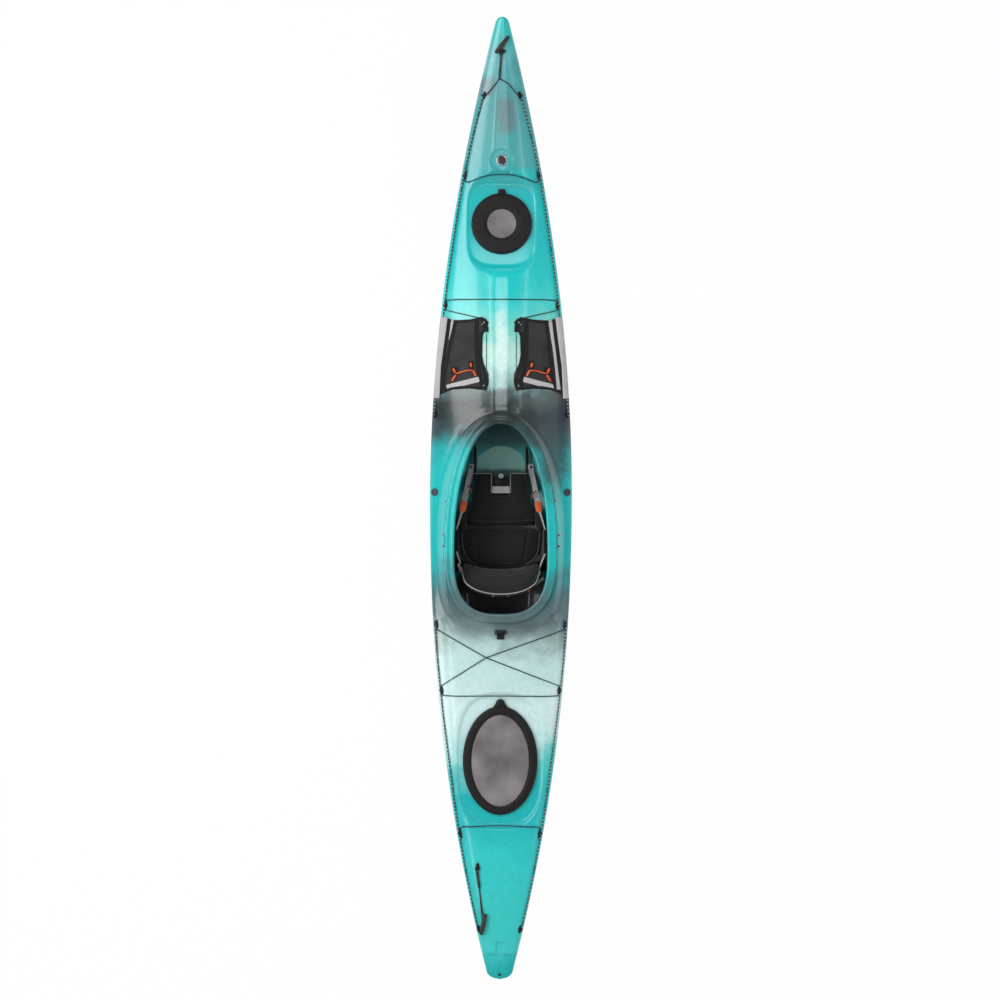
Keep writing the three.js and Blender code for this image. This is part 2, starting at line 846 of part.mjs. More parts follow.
const hullSolid = makeHull();
const grownHull = subtractAll(outerLoft(touchGap).add(island(-touchGap)), deckCuts(-touchGap));
const insideFit = subtractAll(innerLoft(wall + touchGap), deckCuts(wall + touchGap));

// Hatches

function hatchRim(outline, floorZ) {
  const outer = -hatchRimInset;
  const inner = outer - hatchRimWidth;
  const under = floorZ + touchGap;
  return ringed(outline, [
    [inner, floorZ - wall - hatchCollarDrop],
    [inner + hatchCollar, floorZ - wall - hatchCollarDrop],
    [inner + hatchCollar, under],
    [outer, under],
    [outer, under + hatchFlange],
    [outer - hatchFlangeStep, under + hatchFlange],
    [outer - hatchFlangeStep, floorZ + hatchRimTop],
    [inner, floorZ + hatchRimTop],
  ]);
}

// The rubber cover: a skirt, a rounded edge, a broad swelling ring, and a web under the centre panel.
function hatchCover(outline, floorZ, panelInset) {
  const web = floorZ + hatchRimTop + touchGap;
  return stacked(outline, [
    [-coverSkirt - hatchRimWidth, web],
    [-coverSkirt, web],
    [-coverSkirt, floorZ + coverLift],
    [0, floorZ + coverLift],
    [0, floorZ + coverEdgeHeight],
    [-coverEdgeRound / 3, floorZ + coverEdgeHeight + coverEdgeRound / 2],
    [-coverEdgeRound, floorZ + coverHeight - coverCrown],
    [-panelInset / 2, floorZ + coverHeight],
    [-panelInset + softGap, floorZ + coverHeight - 2 * coverCrown],
    [-panelInset + softGap, web + coverWeb],
  ]);
}

function hatchPanel(outline, floorZ, panelInset) {
  const base = floorZ + hatchRimTop + coverWeb + 2 * touchGap;
  const inset = panelInset + touchGap;
  return stacked(outline, [
    [-inset, base],
    [-inset, base + panelThickness - coverCrown],
    [-inset - 4 * panelCrown, base + panelThickness + panelCrown / 2],
    [-inset - 10 * panelCrown, base + panelThickness + panelCrown],
  ]);
}

// The finger tab that stands out from the cover's front edge.
function hatchTab(tab, centreY, reach, floorZ) {
  const base = centreY + reach - coverSkirt / 2;
  const z = floorZ + coverEdgeHeight - tabThickness;
  const shape = [
    [-tab.width / 2, base],
    [tab.width / 2, base],
    [(tab.tipShare * tab.width) / 2, base + tab.length],
    [(-tab.tipShare * tab.width) / 2, base + tab.length],
  ];
  return loft([z, z + tabThickness].map((height) => shape.map(([x, y]) => at(x, y, height))));
}

// Pieces on the deck

function eyePlace(eye, side) {
  const y = eye.alongShare * half;
  return { x: side * eye.acrossShare * halfBeam(y), y };
}

// Across-place of the grab line at a station: straight runs between its eyes.
const edgeEyes = [bowEye, ...lineEyes, sternEye];
function edgeX(y, side) {
  const places = edgeEyes.map((eye) => eyePlace(eye, side));
  const found = places.findIndex((place) => place.y < y);
  const next = found < 0 ? places.length - 1 : Math.max(1, found);
  const [from, to] = [places[next - 1], places[next]];
  return lerp(from.x, to.x, (from.y - y) / (from.y - to.y));
}

// A frame on the deck, turned to follow a line that drifts across by slope for each unit along.
function deckFrame(x, y, slope = 0) {
  const up = deckNormal(x, y);
  const along = at(slope, 1, 0).projectOnPlane(up).normalize();
  return { origin: at(x, y, deckZ(x, y)), across: along.clone().cross(up), along, up };
}

function eyeFrame(eye, side) {
  const { x, y } = eyePlace(eye, side);
  return deckFrame(x, y, (edgeX(y + eyeLength, side) - edgeX(y - eyeLength, side)) / (2 * eyeLength));
}

function inFrame(f, across, along, up) {
  const flat = f.origin.clone().addScaledVector(f.across, across).addScaledVector(f.along, along);
  return flat.addScaledVector(f.up, up);
}

function onFrame(solid, f) {
  return placed(solid, f.origin, f.across, f.along, f.up);
}

// A deck eye before its hole: an oval plate, with an arch that the line runs through or across.
function eyeBody(turned, grow) {
  const radius = eyeWidth / 2 + grow;
  const plate = new THREE.CylinderGeometry(radius - 1, radius, eyePlate + eyeFoot + 2 * grow, 8);
  plate.scale(1, 1, eyeLength / eyeWidth).rotateX(Math.PI / 2).translate(0, 0, (eyePlate - eyeFoot) / 2);
  const reach = eyeArchWidth / 2 + grow;
  const top = eyeArchHeight + grow;
  const arch = new THREE.Shape();
  arch.moveTo(-reach, -eyeFoot / 2);
  arch.lineTo(reach, -eyeFoot / 2);
  arch.lineTo(reach, 0.8 * top);
  arch.lineTo(0.75 * reach, top);
  arch.lineTo(-0.75 * reach, top);
  arch.lineTo(-reach, 0.8 * top);
  arch.closePath();
  const depth = eyeArchLength + 2 * grow;
  const bridge = new THREE.ExtrudeGeometry(arch, { depth, bevelEnabled: false });
  bridge.translate(0, 0, -depth / 2).rotateX(Math.PI / 2);
  if (turned) bridge.rotateZ(Math.PI / 2);
  return fromGeometry(plate).add(fromGeometry(bridge));
}

// A deck eye with its hole: wide enough for a line and an elastic side by side, or round for a handle.
function lineEye(f) {
  const height = lineRadius + boreGap;
  const slot = block(
    at(-elasticShift - height, -eyeLength, eyeCordHeight - height),
    at(lineShift + height, eyeLength, eyeCordHeight + height),
  );
  return onFrame(eyeBody(false, 0).subtract(slot), f).subtract(grownHull);
}

function handleEye(f) {
  const centre = inFrame(f, 0, 0, eyeCordHeight);
  const reach = at(eyeLength, 0, 0);
  const bore = rod(centre.clone().sub(reach), centre.clone().add(reach), handleCordRadius + boreGap, 8);
  return onFrame(eyeBody(true, 0), f).subtract(grownHull).subtract(bore);
}

// A point a given height above the deck, measured square to it.
function above(x, y, height) {
  return at(x, y, deckZ(x, y)).addScaledVector(deckNormal(x, y), height);
}

// Points over the deck from one place to another, with neither end.
function between(from, to, height, step) {
  const count = Math.max(1, Math.round(Math.hypot(to.x - from.x, to.y - from.y) / step));
  const points = [];
  for (let i = 1; i < count; i++) {
    const run = i / count;
    points.push(above(lerp(from.x, to.x, run), lerp(from.y, to.y, run), height));
  }
  return points;
}

function knot(centre) {
  return ball(centre, knotRadius);
}

// A grab line through its eyes, knotted beyond the cockpit eye and stopped against the end eye.
function grabLine(eyes, side, knotAhead) {
  const points = [];
  eyes.forEach((eye, i) => {
    const f = eyeFrame(eye, side);
    const here = inFrame(f, side * lineShift, 0, eyeCordHeight);
    if (i > 0) {
      const last = points[points.length - 1];
      points.push(...between(last, here, eyeCordHeight, lineStep));
    }
    if (eye.turned) {
      points.push(inFrame(f, side * lineShift, -eyeArchWidth / 2 - touchGap - knotRadius, eyeCordHeight));
      return;
    }
    points.push(here);
  });
  const knotEye = eyes.find((eye) => eye.name.startsWith("cockpit"));
  const knotHeight = eyePlate + knotRadius + touchGap;
  const end = inFrame(eyeFrame(knotEye, side), side * lineShift, knotAhead * knotReach, knotHeight);
  if (knotAhead > 0) points.unshift(end);
  else points.push(end);
  return cord(points, lineRadius).add(knot(end));
}

// The points of an elastic through an eye, from behind it to ahead of it.
function throughEye(eye, side) {
  const f = eyeFrame(eye, side);
  const inboard = -side * elasticShift;
  return [-eyeLength / 2, -eyeArchLength, eyeArchLength, eyeLength / 2].map((along, i) =>
    inFrame(f, inboard, along, i === 0 || i === 3 ? eyeCordHeight - boreGap : eyeCordHeight),
  );
}

// The bend of an elastic just past an eye, turning in towards the middle of the deck.
function bendIn(eye, side, ahead) {
  const f = eyeFrame(eye, side);
  const inboard = -side * elasticShift;
  const near = inFrame(f, 2 * inboard, ahead * cordLead, eyeCordHeight - 1);
  const far = inFrame(f, 6 * inboard, ahead * (cordLead + elasticRadius), 0);
  return [near, above(far.x, far.y, elasticRadius + 2 * deckGap)];
}

// An elastic straight across the deck, arched towards ahead, with a point at each edge of the ridge.
function across(eye, ahead, arch) {
  const { x, y } = eyePlace(eye, 1);
  const reach = x - 7 * elasticShift;
  const half = [...acrossStepShares.map((share) => lerp(ridgeHalf, reach, share)), ridgeHalf];
  return [...half.map((place) => -place), ...half.reverse()].map((place) => {
    const along = y + ahead * (cordLead + elasticRadius + arch * (1 - (place / reach) ** 2));
    return above(place, along, elasticRadius + deckGap);
  });
}

// A single elastic between a pair of eyes, running across ahead of them (1) or behind them (-1),
// and knotted on their other sides.
function crossElastic(eye, ahead, arch) {
  const [left, right] = [-1, 1].map((side) => {
    const through = throughEye(eye, side);
    if (ahead < 0) through.reverse();
    through[0].x -= side * knotAside;
    return [...through, ...bendIn(eye, side, ahead)];
  });
  const points = [...left, ...across(eye, ahead, arch), ...right.reverse()];
  return cord(points, elasticRadius).add(knot(points[0])).add(knot(points[points.length - 1]));
}

// The elastic that runs from one pocket, through its eye, over the deck and back to the other pocket.
function hatchElastic(eye) {
  const legs = [-1, 1].map((side) => {
    const y = lerp(pocketBackShare, pocketFrontShare, 1) * half + elasticRadius + 2.5 * deckGap;
    const corner = { x: side * pocketElasticAcross, y: y + pocketLength * pocketFrontSkewShares[0] };
    const through = throughEye(eye, side);
    const start = above(corner.x, corner.y, elasticRadius + deckGap);
    const approach = between(corner, through[0], elasticRadius + deckGap, elasticStep);
    return [start, ...approach, ...through, ...bendIn(eye, side, 1)];
  });
  const points = [...legs[0], ...across(eye, 1, hatchElasticArch), ...legs[1].reverse()];
  return cord(points, elasticRadius);
}

// The crossed elastic behind the cockpit: one cord through four eyes, over itself where it crosses.
function rearElastic(front, back) {
  const crossing = { x: rearCrossAcross, y: rearCrossAlong };
  const low = elasticRadius + deckGap;
  const high = low + 2 * elasticRadius + touchGap;
  const leg = (start, end, height) => [
    ...between(start, crossing, low, elasticStep),
    above(crossing.x, crossing.y, height),
    ...between(crossing, end, low, elasticStep),
  ];
  const leftFront = throughEye(front, -1).reverse();
  const rightBack = throughEye(back, 1).reverse();
  const leftBack = throughEye(back, -1);
  const rightFront = throughEye(front, 1);
  const points = [
    ...leftFront,
    ...leg(leftFront[3], rightBack[0], low),
    ...rightBack,
    ...bendIn(back, 1, -1),
    ...across(back, -1, rearElasticArch).reverse(),
    ...bendIn(back, -1, -1).reverse(),
    ...leftBack,
    ...leg(leftBack[3], rightFront[0], high),
    ...rightFront,
  ];
  return cord(points, elasticRadius).add(knot(points[0])).add(knot(points[points.length - 1]));
}

// A mesh pocket: a thin panel over the deck from near the ridge to the gunwale, cut in at its waist,
// with the thin elastic that runs beside it.
const pocketLength = (pocketFrontShare - pocketBackShare) * half;
function pocket() {
  const grid = pocketRowShares.map((row, i) =>
    pocketColumnShares.map((column, j) => {
      const skew = lerp(pocketBackSkewShares[j], pocketFrontSkewShares[j], row);
      const y = (lerp(pocketBackShare, pocketFrontShare, row) + (skew * pocketLength) / half) * half;
      const outer = pocketOuterShare * halfBeam(y);
      return { x: outer * lerp(pocketInnerShares[i], 1, column), y };
    }),
  );
  const rings = grid.map((row) => [
    ...row.map(({ x, y }) => above(x, y, deckGap)),
    ...row.map(({ x, y }) => above(x, y, deckGap + pocketThickness)).reverse(),
  ]);
  const ends = pocketCordEndShares.map((share) => lerp(pocketBackShare, pocketFrontShare, share) * half);
  const start = { x: pocketCordAcross, y: ends[0] };
  const end = { x: pocketCordAcross, y: ends[1] };
  const height = deckGap + thinCordRadius;
  const side = [
    above(start.x, start.y, height),
    ...between(start, end, height, elasticStep),
    above(end.x, end.y, height),
  ];
  return loft(rings).add(cord(side, thinCordRadius));
}

// Carry handles

// A grip: a bar thickest at its middle, lying on the deck at an angle, with the place of its middle.
function toggle(x, y, angle) {
  const ahead = at(Math.sin(angle * degree), Math.cos(angle * degree), 0);
  const gap = toggleRadius + 2 * deckGap;
  const reach = toggleLength / 2;
  const ends = [-reach, reach].map((d) => {
    const along = y + d * ahead.y;
    return at(x + d * ahead.x, along, deckZ(0, along) + gap);
  });
  const middle = ends[0].clone().lerp(ends[1], 1 / 2);
  const solid = rod(ends[0], ends[1], toggleEndRadius, toggleSides, toggleEndRadius, toggleRadius);
  return { solid, middle };
}

// The bow handle: a cord through both bow eyes, joined at a knot, with two runs on to the grip.
function bowHandle() {
  const y = bowEye.alongShare * half;
  const height = handleCordRadius + deckGap;
  const grip = toggle(0, y + bowToggleReach, bowToggleAngle);
  const joint = above(bowJointAcross, y + bowBridleReach, 1.4 * knotRadius + deckGap);
  const sides = [-1, 1].map((side) => {
    const f = eyeFrame(bowEye, side);
    const hole = inFrame(f, 0, 0, eyeCordHeight);
    const shift = (d, ahead, lift) => at(hole.x + side * d, hole.y + ahead, hole.z + lift);
    const outer = shift(eyeArchLength / 2 + touchGap + knotRadius, 0, 0);
    const bend = above(hole.x - side * eyeWidth, hole.y + eyeArchLength, eyePlate + height + 2 * deckGap);
    const rise = above(hole.x * 0.35, hole.y + bowBridleReach * 0.68, height);
    const inner = shift(-eyeArchLength / 2 - eyeCordPast, 0, 0);
    return cord([outer, inner, bend, rise, joint], handleCordRadius).add(knot(outer));
  });
  const runs = [-1, 1].map((side) => {
    const far = grip.middle.clone().add(at((side * bridleSpread) / 2, 0, 0));
    const start = joint.clone().add(at((side * bridleSpread) / 4, 0, 0));
    const mid = start.clone().lerp(far, 1 / 2);
    return cord([start, above(mid.x, mid.y, height + handleCordLift), far], handleCordRadius);
  });
  return addAll([...sides, ...runs, ball(joint, 1.4 * knotRadius), grip.solid]);
}

// The stern handle: a loop through its eye, bound together, then two runs on to the grip.
function sternHandle(f) {
  const hole = inFrame(f, 0, 0, eyeCordHeight);
  const height = handleCordRadius + deckGap;
  const grip = toggle(hole.x + sternToggleInboard, hole.y - sternToggleReach, sternToggleAngle);
  const reach = eyeArchLength / 2 + 3 * handleCordRadius;
  const legs = [-1, 1].map((side) => {
    const bindX = hole.x + (side * bridleSpread) / 4;
    const bindPlace = above(bindX, hole.y - whippingStart, whippingRadius + deckGap);
    const bend = inFrame(f, side * reach, -2 * handleCordRadius, eyeCordHeight + deckGap);
    const endPlace = above(hole.x + sternToggleInboard / 3, hole.y - whippingEnd, whippingRadius + deckGap);
    const far = grip.middle.clone().add(at((side * bridleSpread) / 2, 0, 0));
    const mid = endPlace.clone().lerp(far, 1 / 2);
    return { bindPlace, bend, endPlace, tail: [endPlace, above(mid.x, mid.y, height + handleCordLift), far] };
  });
  const loop = cord(
    [
      legs[0].bindPlace,
      legs[0].bend,
      at(hole.x - eyeArchLength / 2 - deckGap, hole.y, hole.z),
      at(hole.x + eyeArchLength / 2 + deckGap, hole.y, hole.z),
      legs[1].bend,
      legs[1].bindPlace,
    ],
    handleCordRadius,
  );
  const tails = legs.map((leg) => cord(leg.tail, handleCordRadius));
  const bindStart = legs[0].bindPlace.clone().lerp(legs[1].bindPlace, 1 / 2);
  const binding = rod(bindStart, legs[0].endPlace, whippingRadius, 8, whippingRadius * 0.8);
  return addAll([loop, ...tails, binding, grip.solid]);
}

// Foot braces, drawn for the starboard side

function insideRail(y) {
  return insideHalf(y, railHeight) - railStandOff - railThickness;
}

// A frame at a rail's after end: out towards the hull, ahead along the rail, and up.
function railFrame() {
  const [aft, fore] = [railAftShare * half, railForeShare * half];
  const from = at(insideRail(aft), aft, railHeight);
  const along = at(insideRail(fore), fore, railHeight).sub(from);
  const length = along.length();
  along.normalize();
  return { origin: from, across: at(along.y, -along.x, 0), along, up: at(0, 0, 1), length };
}

function rail(f) {
  const bar = block(at(0, 0, -railDepth / 2), at(railThickness, f.length, railDepth / 2));
  const reach = railStandOff + railThickness + 2 * overrun;
  const bosses = [0, f.length - railBossLength].map((start) =>
    block(at(0, start, -railBossHalf), at(reach, start + railBossLength, railBossHalf)),
  );
  const teeth = [];
  for (let y = railBossLength; y + toothWidth < f.length - railBossLength; y += toothPitch)
    teeth.push(block(at(-toothDepth, y, -toothHalf), at(toothRoot, y + toothWidth, toothHalf)));
  return onFrame(addAll([bar, ...bosses, ...teeth]), f);
}

// The place of a pedal's carriage along its rail.
function pedalPlace(f) {
  return (pedalShare * half - f.origin.y) / f.along.y;
}

// A pedal: a carriage hooked over the rail, and a leaning, ribbed plate for the foot.
function pedal(f) {
  const y = pedalPlace(f);
  const inner = -toothDepth - touchGap;
  const face = inner - carriageThickness;
  const top = railDepth / 2 + touchGap;
  const outer = railThickness + touchGap;
  const [back, front] = [y - carriageLength / 2, y + carriageLength / 2];
  const parts = [block(at(face, back, -top - carriageLip), at(inner, front, top + carriageLip))];
  [-1, 1].forEach((side) => {
    const [low, high] = side > 0 ? [top, top + carriageLip] : [-top - carriageLip, -top];
    parts.push(block(at(inner - carriageRoot, back, low), at(outer + carriageHook, front, high)));
    const [hookLow, hookHigh] = side > 0 ? [top - carriageLip, high] : [low, -top + carriageLip];
    parts.push(block(at(outer, back, hookLow), at(outer + carriageHook, front, hookHigh)));
  });
  const shape = new THREE.Shape();
  const w = pedalWidth;
  const corners = [
    [carriageRoot, -pedalBottom / 3], [-0.12 * w, -pedalBottom / 2.4], [-w / 2, -pedalBottom],
    [-0.82 * w, -pedalBottom], [-w, -0.75 * pedalBottom], [-w, 0.7 * pedalTop],
    [-0.82 * w, pedalTop], [-0.2 * w, pedalTop], [carriageRoot, pedalTop / 2],
  ];
  corners.forEach(([x, z], i) => shape[i ? "lineTo" : "moveTo"](x, z));
  shape.closePath();
  const plate = new THREE.ExtrudeGeometry(shape, { depth: pedalThickness, bevelEnabled: false });
  plate.translate(0, 0, -pedalThickness / 2).rotateX(Math.PI / 2);
  let foot = fromGeometry(plate);
  for (let i = 0; i < pedalRibs; i++) {
    const z = lerp(-0.7 * pedalBottom, 0.6 * pedalTop, i / (pedalRibs - 1));
    const rib = block(
      at(-0.9 * w, -pedalThickness / 2 - pedalRibHeight, z),
      at(-0.45 * w, 0, z + pedalRibWidth),
    );
    foot = foot.add(rib);
  }
  foot = foot.rotate([-pedalLean, 0, 0]).translate([face, y, 0]);
  const pin = rod(
    at(face + carriageRoot, y + leverAhead, -leverDrop / 2),
    at(face - leverWidth - carriageRoot, y + leverAhead, -leverDrop / 2),
    leverPinRadius,
    8,
  );
  return onFrame(addAll([...parts, foot, pin]), f);
}

// The release lever that hangs from its pin ahead of the pedal.
function lever(f) {
  const y = pedalPlace(f) + leverAhead;
  const face = -toothDepth - touchGap - carriageThickness;
  const z = -leverDrop / 2;
  const inner = face - touchGap - leverWidth;
  const arm = block(
    at(inner, y - leverThickness / 2, z - leverLength),
    at(face - touchGap, y + leverThickness / 2, z),
  );
  const [from, to] = [at(inner, y, z), at(face - touchGap, y, z)];
  const eye = rod(from, to, leverPinRadius + leverThickness / 2, 10);
  const bore = rod(
    from.clone().sub(at(leverWidth, 0, 0)),
    to.clone().add(at(leverWidth, 0, 0)),
    leverPinRadius + touchGap,
    10,
  );
  return onFrame(arm.add(eye).subtract(bore), f);
}

// Seat

const seatAt = (x, y, z) => at(x, seatY + y, z);

// The seat pan: a shallow tray with upturned sides, on a foot over each track.
function seatPan() {
  const acrossShares = [-1, -0.9, -0.8, -0.5, 0, 0.5, 0.8, 0.9, 1];
  const top = (x) => panTop + panSideRise * smoothstep(Math.abs(x), panFlatHalf, panHalfWidth);
  const section = (y) => [
    ...acrossShares.map((share) => seatAt(share * panHalfWidth, y, top(share * panHalfWidth))),
    ...acrossShares
      .map((share) => seatAt(share * panHalfWidth, y, top(share * panHalfWidth) - panThickness))
      .reverse(),
  ];
  const tray = loft([section(panBack), section(panFront)]);
  const feet = [-1, 1].map((side) =>
    block(
      seatAt(side * trackPlace - panFootWidth / 2, panBack, trackTop + touchGap),
      seatAt(side * trackPlace + panFootWidth / 2, panFront, panTop - panThickness / 2),
    ),
  );
  return addAll([tray, ...feet]);
}

// A track on the hull's floor: a low bar with a slot along its top.
function seatTrack() {
  const bar = block(
    seatAt(trackPlace - trackWidth / 2, trackBack, 0),
    seatAt(trackPlace + trackWidth / 2, trackFront, trackTop),
  );
  const slot = block(
    seatAt(trackPlace - trackSlotWidth / 2, panFront + overrun, trackTop - trackSlotDepth),
    seatAt(trackPlace + trackSlotWidth / 2, trackFront - overrun, trackTop + overrun),
  );
  return bar.subtract(slot);
}

// A stuffed pad on a flat base: drawn in at its foot and crowned on top, towards its middle.
function cushion(outline, base, middle) {
  const top = base + cushionThickness;
  const levels = [
    [-cushionSeam, base, 1],
    [0, base + 0.4 * cushionThickness, 1],
    [-cushionSeam / 2, base + 0.78 * cushionThickness, 1],
    [-2 * cushionSeam, top, 1],
    [-2 * cushionSeam, top + 0.75 * cushionCrown, 0.84],
    [-2 * cushionSeam, top + cushionCrown, 0.6],
  ];
  return loft(
    levels.map(([offset, z, share]) =>
      outline(offset).map((p) => at(share * p.x, lerp(seatY + middle, p.y, share), z)),
    ),
  );
}

function seatOutline(shares, halfWidth, back, front) {
  return halfOutline(shares.map(([x, y]) => [x * halfWidth, seatY + lerp(back, front, y)]));
}

// The seat's rear cushion, with a sewn channel down each side of its centre panel.
function seatPad() {
  const outline = seatOutline(padOutlineShares, padHalfWidth, padBack, padFront);
  const base = panTop + touchGap;
  const body = cushion(outline, base, (padBack + padFront) / 2).subtract(panSideKeep());
  const z = base + cushionThickness + cushionCrown;
  const channels = [-1, 1].map((side) =>
    rod(
      seatAt(side * padChannelPlace * 0.96, padBack + 4 * cushionSeam, z),
      seatAt(side * padChannelPlace, padFront - 4 * cushionSeam, z),
      seamChannelRadius,
      6,
    ),
  );
  return subtractAll(body, channels);
}

// The pan's upturned sides with a little room, for the cushion to fit between.
function panSideKeep() {
  const acrossShares = [-1.2, -1, -0.9, -0.8, -0.5, 0, 0.5, 0.8, 0.9, 1, 1.2];
  const top = (x) => panTop + touchGap + panSideRise * smoothstep(Math.abs(x), panFlatHalf, panHalfWidth);
  const section = (y) => [
    ...acrossShares.map((share) => seatAt(share * panHalfWidth, y, top(share * panHalfWidth))),
    seatAt(1.2 * panHalfWidth, y, 0),
    seatAt(-1.2 * panHalfWidth, y, 0),
  ];
  return loft([section(panBack - overrun), section(panFront + overrun)]);
}

const legOutline = seatOutline(legOutlineShares, legHalfWidth, legBack, legFront);

// The front cushion, with a notch in its front edge for the adjuster.
function legPad() {
  const base = panTop + touchGap;
  const notch = block(
    seatAt(-legNotchHalf, legNotchBack, base - overrun),
    seatAt(legNotchHalf, legFront + overrun, base + 2 * cushionThickness),
  );
  return cushion(legOutline, base, (legBack + legFront) / 2).subtract(notch);
}

// The plate that carries the front cushion: two ribs below, and a round edge in line with its pivot.
function legPlate() {
  const z = panTop - legPlateThickness;
  const plate = stacked(legOutline, [
    [-legPlateInset, z],
    [-legPlateInset, panTop],
  ]);
  const pivotZ = panTop - legPivotRadius;
  const edge = rod(
    seatAt(-panFlatHalf, legPivotY, pivotZ),
    seatAt(panFlatHalf, legPivotY, pivotZ),
    legPivotRadius,
    12,
  );
  const webFront = legBack + 2 * legPlateInset;
  const web = block(seatAt(-panFlatHalf, legPivotY, z), seatAt(panFlatHalf, webFront, panTop));
  const ribTop = panTop - legPlateThickness / 2;
  const ribs = [-1, 1].map((side) =>
    block(
      seatAt(side * legRibPlace - legRibWidth / 2, legBack + legPlateInset, z - legRibDepth),
      seatAt(side * legRibPlace + legRibWidth / 2, legFront - 2 * legPlateInset, ribTop),
    ),
  );
  return addAll([plate, edge, web, ...ribs]);
}

// The adjuster in the cushion's notch: a low housing with a round knob.
function legAdjuster() {
  const z = panTop + touchGap;
  const housing = block(
    seatAt(-adjusterHalfWidth, adjusterBack, z),
    seatAt(adjusterHalfWidth, adjusterFront - 2 * legPlateInset, z + adjusterHeight),
  );
  const y = adjusterFront - 3 * legPlateInset;
  const knobTop = z + adjusterHeight + adjusterKnobHeight;
  const knob = rod(seatAt(0, y, z + adjusterHeight / 2), seatAt(0, y, knobTop), adjusterKnobRadius, 12);
  return housing.add(knob);
}

// The seat back, drawn about its pivot: x across, y forward out of the back, z up the back.
function onBack(solid) {
  const lean = backLean * degree;
  return placed(
    solid,
    seatAt(0, backPivotY, backPivotZ),
    at(1, 0, 0),
    at(0, Math.cos(lean), Math.sin(lean)),
    at(0, -Math.sin(lean), Math.cos(lean)),
  );
}

// How far the frame stands forward of its arms at a place across it: straight runs between its columns.
function backCurve(x) {
  const columns = [...backFrameShares.map(([share]) => share * backFrameHalf), 0].reverse();
  const next = Math.max(1, columns.findIndex((column) => column >= Math.abs(x)));
  const bow = (place) => -backWrap * (1 - (place / backFrameHalf) ** 2);
  const [from, to] = [columns[next - 1], columns[next]];
  return lerp(bow(from), bow(to), (Math.abs(x) - from) / (to - from));
}

// The frame behind the back pad: a curved plate with two windows, and an arm with a boss at each side.
function backFrame() {
  const t = backFrameThickness / 2;
  const columns = [
    ...backFrameShares.map(([x, z]) => [-x, z]),
    [0, 1],
    ...backFrameShares.map(([x, z]) => [x, z]).reverse(),
  ];
  const plate = loft(
    columns.map(([xShare, zShare]) => {
      const x = xShare * backFrameHalf;
      const y = backCurve(x);
      const top = zShare * backFrameHeight;
      return [at(x, y - t, -backFrameDrop), at(x, y - t, top), at(x, y + t, top), at(x, y + t, -backFrameDrop)];
    }),
  );
  const windows = [-1, 1].map((side) => {
    const [low, high] = [side * backWindowNear, side * backWindowFar].sort((a, b) => a - b);
    return block(at(low, -2 * backWrap, backWindowLow), at(high, backWrap, backWindowHigh));
  });
  const bosses = [-1, 1].map((side) =>
    rod(at(side * backBossInner, 0, 0), at(side * backBossOuter, 0, 0), backBossRadius, 12),
  );
  const bracket = block(
    at(-backBracketHalf, backCurve(0) - t - backBracketDepth, backFrameHeight - 1.5 * backBracketHeight),
    at(backBracketHalf, backCurve(0), backFrameHeight - backBracketHeight / 2),
  );
  const bore = rod(at(-2 * backFrameHalf, 0, 0), at(2 * backFrameHalf, 0, 0), pivotPinRadius + touchGap, 12);
  return onBack(subtractAll(addAll([plate, ...bosses, bracket]), [...windows, bore]));
}

// The back pad: stuffed, thin at its edges, full in the middle, with a straight back along its slide.
function backPad() {
  const columnShares = [-1, -0.95, -0.85, -0.65, -0.4, 0, 0.4, 0.65, 0.85, 0.95, 1];
  const rings = columnShares.map((share) => {
    const x = share * backPadHalfWidth;
    const round = Math.sqrt(1 - Math.min(1, Math.abs(share)) ** 4);
    const rear = backCurve(x) + backFrameThickness / 2 + softGap + backPadEdge * (1 - round);
    const thick = lerp(backPadEdge, backPadThickness, round);
    const low = -backPadDrop + 2 * backPadEdge * (1 - round);
    const high = backPadHeight * lerp(0.6, 1, round);
    return [
      at(x, rear, low + backPadEdge / 2),
      at(x, rear, high - backPadEdge),
      at(x, rear + 0.35 * thick, high),
      at(x, rear + 0.8 * thick, high - backPadEdge),
      at(x, rear + thick, high - 3 * backPadEdge),
      at(x, rear + thick + backPadCrown * round, lerp(low, high, 0.62)),
      at(x, rear + thick + backPadCrown * round, lerp(low, high, 0.38)),
      at(x, rear + thick, low + 3 * backPadEdge),
      at(x, rear + 0.7 * thick, low + backPadEdge / 2),
      at(x, rear + 0.3 * thick, low),
    ];
  });
  return onBack(loft(rings));
}

// A seat hanger, drawn for the starboard side: a flange under the deck, and a web down to the pan, with
// the pin that the seat back turns on.
function hangerInner(z) {
  const bottom = panTop + panSideRise;
  const run = clamp((z - bottom) / (hangerSlopeTop - bottom), 0, 1);
  return lerp(panHalfWidth + touchGap, cockpitHalfWidth + rimWall + touchGap, run);
}

function hanger(grow) {
  const section = (y) => {
    const under = rimZ(seatY + y) - rimStand - wall + 2 * grow;
    const low = under - hangerThickness - 3 * grow;
    const heights = [hangerBottom, panTop + panSideRise, hangerSlopeTop];
    return [
      ...heights.map((z) => seatAt(hangerInner(z) - grow, y, z)),
      seatAt(hangerInner(under) - grow, y, under),
      seatAt(hangerInner(under) + hangerFlange, y, under),
      seatAt(hangerInner(under) + hangerFlange, y, low),
      seatAt(hangerInner(under) + hangerThickness + grow, y, low),
      ...heights.map((z) => seatAt(hangerInner(z) + hangerThickness + grow, y, z)).reverse(),
    ];
  };
  const middle = (hangerBack + hangerFront) / 2;
  return loft([section(hangerBack - grow), section(middle), section(hangerFront + grow)]);
}

